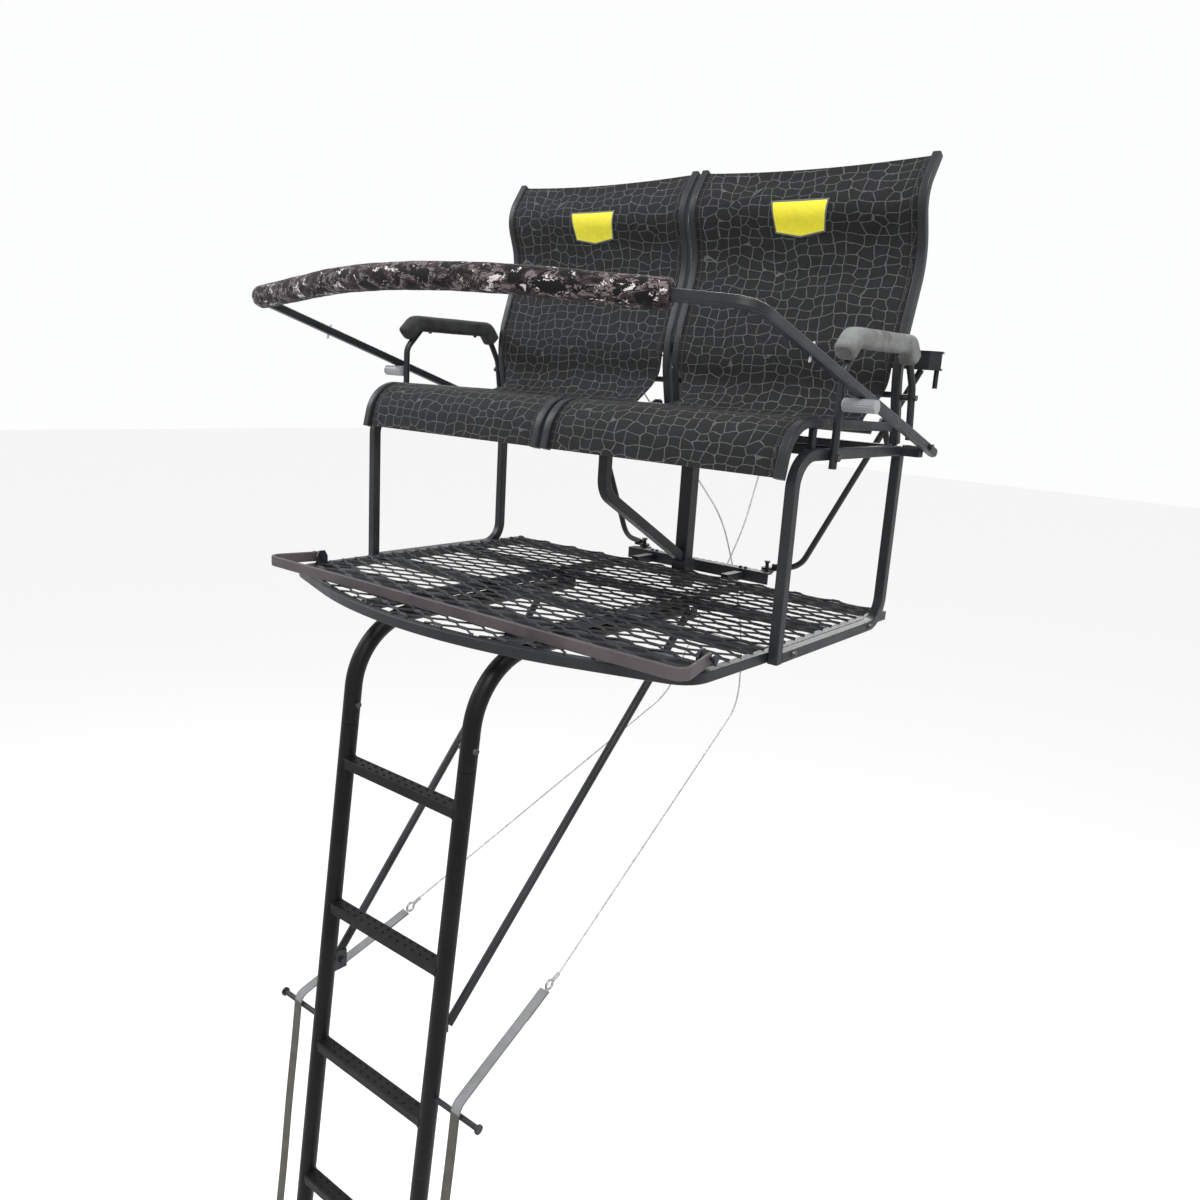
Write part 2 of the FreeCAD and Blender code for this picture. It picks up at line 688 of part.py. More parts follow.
def brace_clamps():
    """Ears and bolts that hold the struts at both ends."""
    found = []
    for side in (-1, 1):
        y = stile_y(BRACE_FOOT_Z)
        ear = box(STILE_X - 16, STILE_X - 11, y + 4, y + STILE_R + 22, BRACE_FOOT_Z - 30, BRACE_FOOT_Z + 14)
        head = Part.makeCylinder(7.0, 7.0, V(STILE_X - 23, y + STILE_R + 8, BRACE_FOOT_Z - 8), V(1, 0, 0))
        piece = ear.fuse(head).cut(stile_solid(1, BRACE_FOOT_Z))
        found.append(piece if side > 0 else mirrored(piece))
        top = box(STILE_X + 53, STILE_X + 57, BRACE_TOP_Y - 12, BRACE_TOP_Y + 12, NECK_Z - 10, DECK_Z - 11)
        found.append(top if side > 0 else mirrored(top))
    return found


# ---- tree end: spine, post, blades, jaws ------------------------------------------------
BOOT_FRONT = RIM_REAR_Y + FRAME_TUBE / 2
BOOT_TOP = 20.0
BOOT_LOW = -58.0


def spine():
    """Bent tube from under the seat down and back to the foot of the post."""
    foot = V(0, POST_Y - POST_SIDE / 2, 26)
    points = [V(0, SPINE_Y, RAIL_Z - FRAME_TUBE / 2), V(0, SPINE_Y, 222), foot]
    tube = square_tube(points, [58.0], V(1, 0, 0), SPINE_SIDE)
    rear = box(-30, 30, POST_Y - POST_SIDE / 2, 0, -100, 500)
    return tube.cut([rear, box(-30, 30, BOOT_FRONT - 0.1, 0, -100, BOOT_TOP)])


def centre_post():
    return square_tube([V(0, POST_Y, BOOT_LOW + 2), V(0, POST_Y, UPPER_Z + 12)], [], V(1, 0, 0), POST_SIDE, 4.0)


def post_boot():
    """Sleeve round the foot of the post, welded to the platform's rear tube."""
    half = POST_SIDE / 2
    outer = box(-half - 3.5, half + 3.5, BOOT_FRONT, POST_Y + half + 3.5, BOOT_LOW, BOOT_TOP)
    return outer.cut(box(-half, half, POST_Y - half, POST_Y + half, BOOT_LOW - 1, BOOT_TOP + 1))


def seat_cross_tubes():
    inner = FRAME_HALF - FRAME_TUBE / 2
    return [straight_x(-inner, inner, SPINE_Y, RAIL_Z, FRAME_TUBE),
            straight_x(-inner, inner, POST_REAR_Y, RAIL_Z, FRAME_TUBE)]


def upper_brace():
    """Cross tube behind the backs, in front of the post."""
    y = POST_Y - POST_SIDE / 2 - 12.7
    return straight_x(-600, 600, y, UPPER_Z, 25.4)


def back_brackets():
    """Plates from the backs' side tubes to the upper cross tube."""
    found = []
    rear = POST_Y - POST_SIDE / 2 - 25.4
    for x in (-SEAT_OUT - 2, -SEAT_IN - 2, SEAT_IN - 2, SEAT_OUT - 2):
        tube = bar(at_x(BACK_PATH, x + 2), BACK_BENDS, V(1, 0, 0), SEAT_TUBE, SEAT_TUBE, 4.0)
        found.append(box(x, x + 4, -214, rear, UPPER_Z - 20, UPPER_Z + 12).cut(tube))
    return found


def toothed_outline(x0, x1, y, depth, teeth, tooth):
    """Outline of a blade whose far edge is cut to saw teeth."""
    step = (x1 - x0) / teeth
    points = [(x0, y - depth), (x1, y - depth)]
    for k in range(teeth):
        points.append((x1 - k * step, y - tooth))
        points.append((x1 - (k + 0.5) * step, y))
    points.append((x0, y - tooth))
    return points


def lower_blade():
    """Toothed angle that bites the trunk, on two stubs from the rear tube."""
    blade = plate_z(toothed_outline(-235, 235, 0, 34, 22, 9), 4, 5.0)
    lip = box(-235, 235, -34, -29, -22, 4)
    stubs = []
    for x in (-150, 150):
        stubs.append(box(x - 11, x + 11, RIM_REAR_Y + FRAME_TUBE / 2, -34, -20, 2))
    return [blade.fuse(lip)] + stubs


def blade_bolts():
    """Carriage bolts that hold the blade to its stubs."""
    found = []
    for x in (-158, -142, 142, 158):
        found.append(Part.makeCone(6.0, 4.0, 5.0, V(x, -20, 9), V(0, 0, 1)))
        found.append(Part.makeCylinder(4.0, 8.0, V(x, -20, -4), V(0, 0, 1)))
    return found


def jaw_plate(z):
    """Arm plate with a hooked tip and teeth on the side that closes on the trunk."""
    x, y = JAW_X, JAW_Y
    outline = [(x - 14, y - 14), (x + 60, y - 15), (x + 250, y + 6), (x + 366, y + 30),
               (x + 388, y + 56), (x + 378, y + 92), (x + 362, y + 74)]
    teeth = 9
    for k in range(teeth):
        t = k / teeth
        outline.append((x + 352 - 250 * t, y + 62 - 44 * t))
        outline.append((x + 338 - 250 * t, y + 74 - 46 * t))
    outline.append((x - 14, y + 14))
    return plate_z(outline, z, 5.0)


def jaw():
    """Gate-like jaw: two plates above, an eye below and a bent strut between them."""
    eye = Part.makeCylinder(15.0, 6.0, V(JAW_X, JAW_Y, 12.0), V(0, 0, 1))
    eye = eye.fuse(box(JAW_X, JAW_X + 32, JAW_Y - 7, JAW_Y + 13, 12, 18))
    points = [V(JAW_X + 15, JAW_Y + 3, 21), V(294, 29, 27), V(546, 66, UPPER_Z - 23)]
    strut = rod(points, [60.0], JAW_STRUT_R)
    spacer = Part.makeCylinder(9.0, 36.0, V(JAW_X + 330, JAW_Y + 44, UPPER_Z - 18), V(0, 0, 1))
    hook = Part.makeCylinder(6.0, 84.0, V(JAW_X + 374, JAW_Y + 66, UPPER_Z - 66), V(0, 0, 1))
    x, y = JAW_X, JAW_Y
    web = plate_z([(x + 200, y + 1), (x + 250, y + 7), (x + 366, y + 31), (x + 387, y + 56),
                   (x + 381, y + 60), (x + 362, y + 36), (x + 248, y + 12), (x + 200, y + 6)], UPPER_Z - 19, 37.0)
    whole = jaw_plate(UPPER_Z - 23).fuse([jaw_plate(UPPER_Z + 17), web, eye, strut, spacer, hook])
    upper = Part.makeCylinder(6.0 + RUN, 80, V(JAW_X, JAW_Y, UPPER_Z - 40), V(0, 0, 1))
    lower = Part.makeCylinder(5.0 + RUN, 30, V(JAW_X, JAW_Y, 10), V(0, 0, 1))
    hollow = rod(trimmed(points, 14.0), [60.0], JAW_STRUT_R - WALL)
    return whole.cut([upper, lower, hollow])


def jaw_pivots():
    """Ears on the upper tree brace and the lower blade, each with its pin."""
    found = []
    rear = POST_Y - POST_SIDE / 2
    for side in (-1, 1):
        ear = box(JAW_X - 12, JAW_X + 12, rear, JAW_Y + 14, UPPER_Z - 12.0, UPPER_Z + 12.0)
        pin = Part.makeCylinder(6.0, 58.0, V(JAW_X, JAW_Y, UPPER_Z - 29), V(0, 0, 1))
        low_ear = box(JAW_X - 14, JAW_X + 14, 0.2, JAW_Y + 16, 3.0, 9.0)
        low_pin = Part.makeCylinder(5.0, 22.0, V(JAW_X, JAW_Y, 9.0), V(0, 0, 1))
        low_head = Part.makeCylinder(8.0, 4.0, V(JAW_X, JAW_Y, 31.0), V(0, 0, 1))
        for piece in (ear.fuse(pin), low_ear.fuse([low_pin, low_head])):
            found.append(piece if side > 0 else mirrored(piece))
    return found


def cable_eyes():
    """Eye plates under the upper cross tube."""
    found = []
    y = POST_Y - POST_SIDE / 2 - 12.7
    for side in (-1, 1):
        x = side * EYE_X
        plate = box(x - 2.5, x + 2.5, y - 10, EYE_Y + 12, EYE_Z - 12, UPPER_Z - 12.7)
        found.append(plate.cut(along_x(x - 5, x + 5, EYE_Y, EYE_Z, 4.0)))
    return found


# ---- stabiliser cables and straps ---------------------------------------------------------
def strap_head(side):
    """Where a cable ends in the webbing, on the line from the trunk to the peg."""
    return V(side * 236.0, -865.0, -844.5)


def cable_points(side):
    """From the eye on one side, round behind the trunk, to the other side's strap."""
    eye = V(side * (EYE_X - 5.4), EYE_Y + 8, EYE_Z - 8)
    end = strap_head(-side) + V(0, 49.5, 21)
    centre = V(TRUNK_X, TRUNK_Y, 0)
    start_heading = math.atan2(centre.y - eye.y, centre.x - side * CABLE_ROUND - eye.x)
    end_heading = math.atan2(end.y - centre.y, end.x - centre.x + side * CABLE_ROUND)
    turn = end_heading - start_heading
    while turn > math.pi:
        turn -= 2 * math.pi
    while turn < -math.pi:
        turn += 2 * math.pi
    count = 5
    step = turn / count
    top = 96.0
    drop = 545.0
    points = [eye]
    for k in range(count):
        heading = start_heading + step * (k + 0.5)
        normal = heading + (math.pi / 2 if turn < 0 else -math.pi / 2)
        r = (CABLE_ROUND + (CABLE_OUTER if side > 0 else 0.0)) / math.cos(step / 2)
        z = top - drop * (k / (count - 1)) - (0 if side < 0 else 22)
        points.append(V(centre.x + r * math.cos(normal), centre.y + r * math.sin(normal), z))
    points.append(end)
    return points


def cable(side):
    points = cable_points(side)
    radii = []
    for i in range(1, len(points) - 1):
        into = points[i] - points[i - 1]
        out = points[i + 1] - points[i]
        half = into.getAngle(out) / 2
        radii.append(0.45 * min(into.Length, out.Length) / math.tan(half))
    print("cable radii", [round(r) for r in radii])
    solid = rod(points, radii, CABLE_R)
    wire = path_wire(points, radii)
    print("cable length", round(wire.Length), "volume ratio",
          round(solid.Volume / (math.pi * CABLE_R ** 2 * wire.Length), 4))
    return solid


def thimble(side):
    """Teardrop loop at the cable's end with a crimped ferrule."""
    head = strap_head(side)
    ring = Part.makeTorus(11.0, 3.0, V(head.x, head.y + 14.5, head.z + 6), V(1, 0, 0))
    ferrule = Part.makeCylinder(4.5, 22.0, V(head.x, head.y + 26, head.z + 11), V(0, 0.92, 0.39))
    return ring.fuse(ferrule)


def peg_centre(side):
    return V(side * STRAP_PEG_X, stile_y(STRAP_PEG_Z), STRAP_PEG_Z)


def strap_pegs():
    """Rods that stand out from the stiles; the webbing turns down over them."""
    found = []
    for z in (STRAP_PEG_Z, BUCKLE_Z - 90):
        for side in (-1, 1):
            start = V(side * STILE_X, stile_y(z), z)
            rod_part = Part.makeCylinder(6.0, 140.0, start, V(side, 0, 0))
            knob = Part.makeCylinder(10.0, 5.0, V(side * (STILE_X + 140), stile_y(z), z), V(side, 0, 0))
            found.append(rod_part.fuse(knob).cut(stile_solid(side, z)))
    return found


def strap_upper(side):
    """Flat webbing from the thimble to the peg, over it and down beside the stile."""
    head = strap_head(side)
    peg = peg_centre(side)
    clear = 6.0 + STRAP_THICK / 2 + GAP
    x = peg.x
    low = BUCKLE_Z + 60
    points = [V(head.x, head.y, head.z), V(x - side * 1.0, peg.y - clear + 2, peg.z + clear + 14),
              V(x, stile_y(low) - clear, low)]
    return bar(points, [26.0], V(1, 0, 0), STRAP_WIDE, STRAP_THICK, 0.6)


def buckle(side):
    """Ratchet body, spool and handle at the strap's lower end."""
    x = side * STRAP_PEG_X
    y = stile_y(BUCKLE_Z) - 7.4
    walls = [box(x - 17, x - 15, y - 18, y + 14, BUCKLE_Z - 30, BUCKLE_Z + 55),
             box(x + 15, x + 17, y - 18, y + 14, BUCKLE_Z - 30, BUCKLE_Z + 55)]
    spool = along_x(x - 17, x + 17, y - 4, BUCKLE_Z + 12, 9.0)
    handle = box(x - 13, x + 13, y - 26, y - 18, BUCKLE_Z - 55, BUCKLE_Z + 30)
    rear = box(x - 17, x + 17, y - 19, y - 17, BUCKLE_Z - 30, BUCKLE_Z + 40)
    return walls[0].fuse([walls[1], spool, handle, rear])


def tail_strap(side):
    """Short loop from the ratchet to the lower peg."""
    x = side * STRAP_PEG_X
    top = BUCKLE_Z + 2
    low = BUCKLE_Z - 90
    return box(x - 12.5, x + 12.5, stile_y(low) - 8.6, stile_y(low) - 6.6, low - 6, top - 34)


# ---- fasteners ------------------------------------------------------------------------------
def frame_bolts():
    """Two bolts through each side frame's bottom rail and the platform rim."""
    found = []
    outer = FRAME_HALF + FRAME_TUBE / 2
    for side in (-1, 1):
        for y in (-612.0, -251.0):
            head = Part.makeCone(9.0, 6.0, 5.5, V(side * outer, y, DECK_Z), V(side, 0, 0))
            inner = RIM_HALF - FRAME_TUBE / 2
            nut = Part.makeCylinder(8.0, 7.0, V(side * inner, y, DECK_Z), V(-side, 0, 0))
            found.append(head)
            found.append(nut)
    return found


def link_plates():
    """Short link beside each front rest leg, with its bolts."""
    found = []
    face = FRAME_HALF - FRAME_TUBE / 2
    for side in (-1, 1):
        plate = box(face - 5.0, face, -612, -588, 366, 389)
        found.append(plate if side > 0 else mirrored(plate))
        head = Part.makeCylinder(6.5, 5.0, V(side * (face - 5), -600, 377), V(-side, 0, 0))
        found.append(head)
    return found


def build():
    save_pair("side_frame", side_frame())
    save("platform_rim", platform_rim())
    save("platform_rear_tube", straight_x(-586, 586, RIM_REAR_Y, DECK_Z, FRAME_TUBE))
    save("platform_cross_tubes", *cross_tubes())
    save("platform_long_tubes", *long_tubes())
    save("deck_mesh", deck_mesh())
    save_pair("seat_pan_frame", pan_frame() + pan_lugs())
    save_pair("seat_pan_sling", pan_sling())
    save_pair("seat_back_frame", back_frame())
    save_pair("seat_back_sling", back_sling())
    save("pan_hinge_brackets", *(hinge_plates() + [mirrored(p) for p in hinge_plates()]))
    save("pan_hinge_bolts", *(hinge_bolts() + [mirrored(p) for p in hinge_bolts()]))
    save("seat_cross_tubes", *seat_cross_tubes())
    save_pair("armrest_tube", arm_tube())
    save_pair("armrest_pad", arm_pad())
    fixings = arm_screws() + arm_bolts()
    save("armrest_fixings", *(fixings + [mirrored(p) for p in fixings]))
    save("rail_rest_pegs", rest_peg(), mirrored(rest_peg()))
    save("shooting_rail_tube", shooting_rail_tube())
    save("shooting_rail_sleeve", rail_sleeve())
    save("shooting_rail_caps", *rail_caps())
    save("shooting_rail_pins", *rail_pins())
    save("shooting_rail_pivots", *rail_pivots())
    save("footrest_bar", footrest_bar())
    save("footrest_brackets", *footrest_brackets())
    save_pair("ladder_gooseneck", gooseneck())
    for index, name in enumerate(("upper", "middle", "lower")):
        save("ladder_section_" + name, *ladder_section(index))
    save("ladder_feet", *ladder_feet())
    save("ladder_joint_bolts", *joint_bolts())
    save_pair("ladder_brace", long_brace())
    save("ladder_brace_clamps", *brace_clamps())
    save("spine_tube", spine())
    save("centre_post", centre_post())
    save("post_boot", post_boot())
    save("upper_tree_brace", upper_brace())
    save("upper_brace_brackets", *(back_brackets() + cable_eyes()))
    save("lower_tree_blade", *lower_blade())
    save("lower_blade_bolts", *blade_bolts())
    save_pair("tree_jaw", jaw())
    save("jaw_pivots", *jaw_pivots())
    for side, name in ((-1, "left"), (1, "right")):
        save("cable_from_" + name, cable(side))
    save("cable_thimbles", thimble(-1), thimble(1))
    save("strap_pegs", *strap_pegs())
    save("strap_webbing", strap_upper(-1), strap_upper(1), tail_strap(-1), tail_strap(1))
    save("strap_buckles", buckle(-1), buckle(1))
    save("frame_bolts", *(frame_bolts() + link_plates()))


build()
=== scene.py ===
"""Looks of a two-person ladder stand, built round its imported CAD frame.

Every surface that is made here is a numpy parametric surface. Sizes in the classes are in
millimetres, and meshes are in metres, both in the frame of the CAD part.
"""

import json
import logging
import math
from dataclasses import dataclass, field
from enum import Enum
from typing import Dict, Iterable, List, Optional, Sequence, Tuple

import bmesh
import bpy
import numpy as np
from mathutils import Matrix, Vector


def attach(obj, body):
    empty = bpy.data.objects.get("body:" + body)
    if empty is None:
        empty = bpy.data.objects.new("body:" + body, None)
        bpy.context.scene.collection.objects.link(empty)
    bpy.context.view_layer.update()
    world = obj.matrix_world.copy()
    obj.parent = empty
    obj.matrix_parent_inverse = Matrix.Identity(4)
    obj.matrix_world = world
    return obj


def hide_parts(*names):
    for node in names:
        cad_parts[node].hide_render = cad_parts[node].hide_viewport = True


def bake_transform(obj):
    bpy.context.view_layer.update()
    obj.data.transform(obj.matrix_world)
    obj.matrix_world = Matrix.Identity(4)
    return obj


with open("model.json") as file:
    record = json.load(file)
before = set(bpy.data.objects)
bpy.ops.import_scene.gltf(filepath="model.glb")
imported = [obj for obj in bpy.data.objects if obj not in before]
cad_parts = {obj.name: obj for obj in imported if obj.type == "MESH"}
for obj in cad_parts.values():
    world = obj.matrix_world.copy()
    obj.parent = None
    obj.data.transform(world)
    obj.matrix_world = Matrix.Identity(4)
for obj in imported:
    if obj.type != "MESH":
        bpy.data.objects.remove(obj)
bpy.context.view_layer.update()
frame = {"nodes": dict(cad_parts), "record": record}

LOG = logging.getLogger("ladder_stand")
MM = 0.001
Colour = Tuple[float, float, float]


class Body(str, Enum):
    """Bodies of the CAD part that a piece can ride on."""

    STAND = "stand"
    RAIL = "shooting_rail"
    SEAT_LEFT = "seat_left"
    SEAT_RIGHT = "seat_right"
    FOOTREST = "footrest"
    JAW_LEFT = "jaw_left"
    JAW_RIGHT = "jaw_right"


class Side(Enum):
    """Left or right of the middle, as the sign of X."""

    LEFT = -1
    RIGHT = 1

    @property
    def word(self) -> str:
        """Returns: the side as it is written in the names of CAD nodes."""
        return "left" if self is Side.LEFT else "right"

    @property
    def seat(self) -> Body:
        """Returns: the seat body on this side."""
        return Body.SEAT_LEFT if self is Side.LEFT else Body.SEAT_RIGHT


# ---- geometry -----------------------------------------------------------------------


def unit(v: np.ndarray) -> np.ndarray:
    """Scales vectors to length one.

    Args:
        v: vectors along the last axis.

    Returns: the unit vectors.
    """
    return v / np.maximum(np.linalg.norm(v, axis=-1, keepdims=True), 1e-12)


def rounded_path(points: Sequence[Sequence[float]], radii: Sequence[float], step: float) -> np.ndarray:
    """Samples straight runs that are joined by tangent arcs.

    An arc of radius r at a corner with half angle h starts r tan(h) before the corner, and its points are
    centre + r (cos, sin) in the plane of the two runs.

    Args:
        points: the corners, in millimetres.
        radii: one radius for each inner corner, in millimetres.
        step: spacing of the samples, in metres.

    Returns: an (n, 3) array of points in metres.
    """
    p = np.array(points, float) * MM
    out: List[np.ndarray] = []
    here = p[0]
    for i in range(1, len(p) - 1):
        a, b = unit(p[i] - p[i - 1]), unit(p[i + 1] - p[i])
        angle = math.acos(float(np.clip(a @ b, -1, 1)))
        r = radii[i - 1] * MM
        reach = r * math.tan(angle / 2)
        start, end = p[i] - a * reach, p[i] + b * reach
        inward = unit(b - a * float(a @ b))
        out.append(line_samples(here, start, step)[:-1])
        turn = np.linspace(0, angle, max(4, int(angle * r / step) + 2))[:-1, None]
        out.append(start + r * np.sin(turn) * a + r * (1 - np.cos(turn)) * inward)
        here = end
    out.append(line_samples(here, p[-1], step))
    return np.concatenate(out)


def line_samples(a: np.ndarray, b: np.ndarray, step: float) -> np.ndarray:
    """Samples a straight run evenly.

    Args:
        a: its start.
        b: its end.
        step: the largest spacing.

    Returns: an (n, 3) array that holds both ends.
    """
    count = max(2, int(np.linalg.norm(b - a) / step) + 2)
    return a + np.linspace(0, 1, count)[:, None] * (b - a)


def along(path: np.ndarray) -> np.ndarray:
    """Returns: the distance of each sample from the start of a path."""
    return np.concatenate([[0.0], np.cumsum(np.linalg.norm(np.diff(path, axis=0), axis=1))])


def moving_frame(path: np.ndarray, up: Sequence[float]) -> Tuple[np.ndarray, np.ndarray, np.ndarray]:
    """Finds the tangent, side and normal at each sample of a path.

    Args:
        path: the samples.
        up: the direction that the normal leans to.

    Returns: three (n, 3) arrays.
    """
    tangent = unit(np.gradient(path, axis=0))
    side = unit(np.cross(tangent, np.array(up, float)))
    return tangent, side, np.cross(side, tangent)


def superellipse(wide: float, tall: float, power: float, count: int) -> np.ndarray:
    """Outline |x/a|^p + |y/b|^p = 1, anticlockwise.

    Args:
        wide: its full width.
        tall: its full height.
        power: 2 gives an ellipse, and more gives squarer corners.
        count: number of points.

    Returns: a (count, 2) array.
    """
    t = np.linspace(0, 2 * np.pi, count, endpoint=False)
    c, s = np.cos(t), np.sin(t)
    return np.stack([wide / 2 * np.sign(c) * np.abs(c) ** (2 / power),
                     tall / 2 * np.sign(s) * np.abs(s) ** (2 / power)], 1)


@dataclass
class Skin:
    """Collects surfaces, then makes one mesh object of them."""

    points: List[np.ndarray] = field(default_factory=list)
    faces: List[List[int]] = field(default_factory=list)
    uvs: List[np.ndarray] = field(default_factory=list)
    paints: List[int] = field(default_factory=list)
    count: int = 0

    def add(self, points: np.ndarray, faces: np.ndarray, uvs: np.ndarray, paint: int = 0) -> None:
        """Adds one surface.

        Args:
            points: (n, 3) vertices.
            faces: (m, k) vertex numbers.
            uvs: (m, k, 2) coordinates of the corners.
            paint: material number.
        """
        self.faces.extend((faces + self.count).tolist())
        self.uvs.append(np.asarray(uvs, float).reshape(-1, 2))
        self.paints.extend([paint] * len(faces))
        self.points.append(points)
        self.count += len(points)

    def grid(self, points: np.ndarray, uv: np.ndarray, wrap: bool, paint: int = 0) -> None:
        """Adds a grid of quads.

        Args:
            points: (rows, columns, 3) vertices.
            uv: (rows, columns, 2), with one more column where the grid wraps.
            wrap: whether the last column joins the first.
            paint: material number.
        """
        rows, cols = points.shape[:2]
        i, j = np.meshgrid(np.arange(rows - 1), np.arange(cols if wrap else cols - 1), indexing="ij")
        i, j = i.ravel(), j.ravel()
        k = (j + 1) % cols
        quads = np.stack([i * cols + j, i * cols + k, (i + 1) * cols + k, (i + 1) * cols + j], 1)
        corner = np.stack([uv[i, j], uv[i, j + 1], uv[i + 1, j + 1], uv[i + 1, j]], 1)
        self.add(points.reshape(-1, 3), quads, corner, paint)

    def tube(self, path: np.ndarray, up: Sequence[float], outline: np.ndarray,
             grow: Optional[np.ndarray] = None,
             paint: int = 0, closed: bool = False) -> None:
        """Sweeps an outline along a path: point = path + side x + normal y.

        Args:
            path: (n, 3) samples.
            up: direction of the outline's y.
            outline: (m, 2) points, anticlockwise.
            grow: size of the outline at each sample, 1 if left out.
            paint: material number.
            closed: whether the path is a loop.
        """
        tangent, side, normal = moving_frame(path, up)
        if closed:
            tangent = unit(np.roll(path, -1, 0) - np.roll(path, 1, 0))
            side = unit(np.cross(tangent, np.array(up, float)))
            normal = np.cross(side, tangent)
        size = np.ones(len(path)) if grow is None else grow
        flat = outline[None] * size[:, None, None]
        points = path[:, None] + side[:, None] * flat[..., :1] + normal[:, None] * flat[..., 1:]
        girth = along(np.concatenate([np.c_[outline, np.zeros(len(outline))],
                                      [[outline[0, 0], outline[0, 1], 0]]]))
        if closed:
            points = np.concatenate([points, points[:1]])
        length = along(np.concatenate([path, path[:1]]) if closed else path)
        uv = np.stack(np.meshgrid(girth, length), -1)
        self.grid(points[:, ::-1], uv[:, ::-1], True, paint)
        if not closed:
            n = len(outline)
            for row, order in ((0, np.arange(n)), (len(path) - 1, np.arange(n)[::-1])):
                cap = points[row][:, :][order]
                self.add(cap, np.arange(n)[None], (outline[order])[None], paint)

    def sheet(self, middle: np.ndarray, normal: np.ndarray, thick: float, uv: np.ndarray,
              paint: int = 0) -> None:
        """Adds a thin closed sheet: two grids at half the thickness each way and a rim.

        Args:
            middle: (rows, columns, 3) middle surface.
            normal: its unit normals.
            thick: the thickness.
            uv: (rows, columns, 2).
            paint: material number.
        """
        rows, cols = middle.shape[:2]
        top, low = middle + normal * thick / 2, middle - normal * thick / 2
        self.grid(top, uv, False, paint)
        self.grid(low[:, ::-1], uv[:, ::-1], False, paint)
        ring = np.concatenate([np.arange(cols), cols * np.arange(1, rows) + cols - 1,
                               cols * (rows - 1) + np.arange(cols - 2, -1, -1),
                               cols * np.arange(rows - 2, 0, -1)])
        a, b = top.reshape(-1, 3)[ring], low.reshape(-1, 3)[ring]
        flat = uv.reshape(-1, 2)[ring]
        both, double = np.stack([b, a], 1), np.stack([flat, flat], 1)
        self.grid(np.concatenate([both, both[:1]]), np.concatenate([double, double[:1]]), False, paint)

    def make(self, name: str, finishes: Sequence[bpy.types.Material],
             smooth: float = 50.0) -> bpy.types.Object:
        """Makes the object.

        Args:
            name: its name.
            finishes: materials, in the order of the paint numbers.
            smooth: angle between faces, in degrees, below which an edge is shaded smooth.

        Returns: the new object.
        """
        mesh = bpy.data.meshes.new(name)
        mesh.from_pydata(np.concatenate(self.points).tolist(), [], self.faces)
        layer = mesh.uv_layers.new(name="UVMap")
        layer.data.foreach_set("uv", np.concatenate(self.uvs).astype(np.float32).ravel())
        for finish in finishes:
            mesh.materials.append(finish)
        mesh.polygons.foreach_set("material_index", np.array(self.paints, np.int32))
        mesh.update()
        mesh.set_sharp_from_angle(angle=math.radians(smooth))
        made = bpy.data.objects.new(name, mesh)
        bpy.context.scene.collection.objects.link(made)
        LOG.info("%s: %d faces", name, len(self.faces))
        return made


# ---- finishes ---------------------------------------------------------------------------


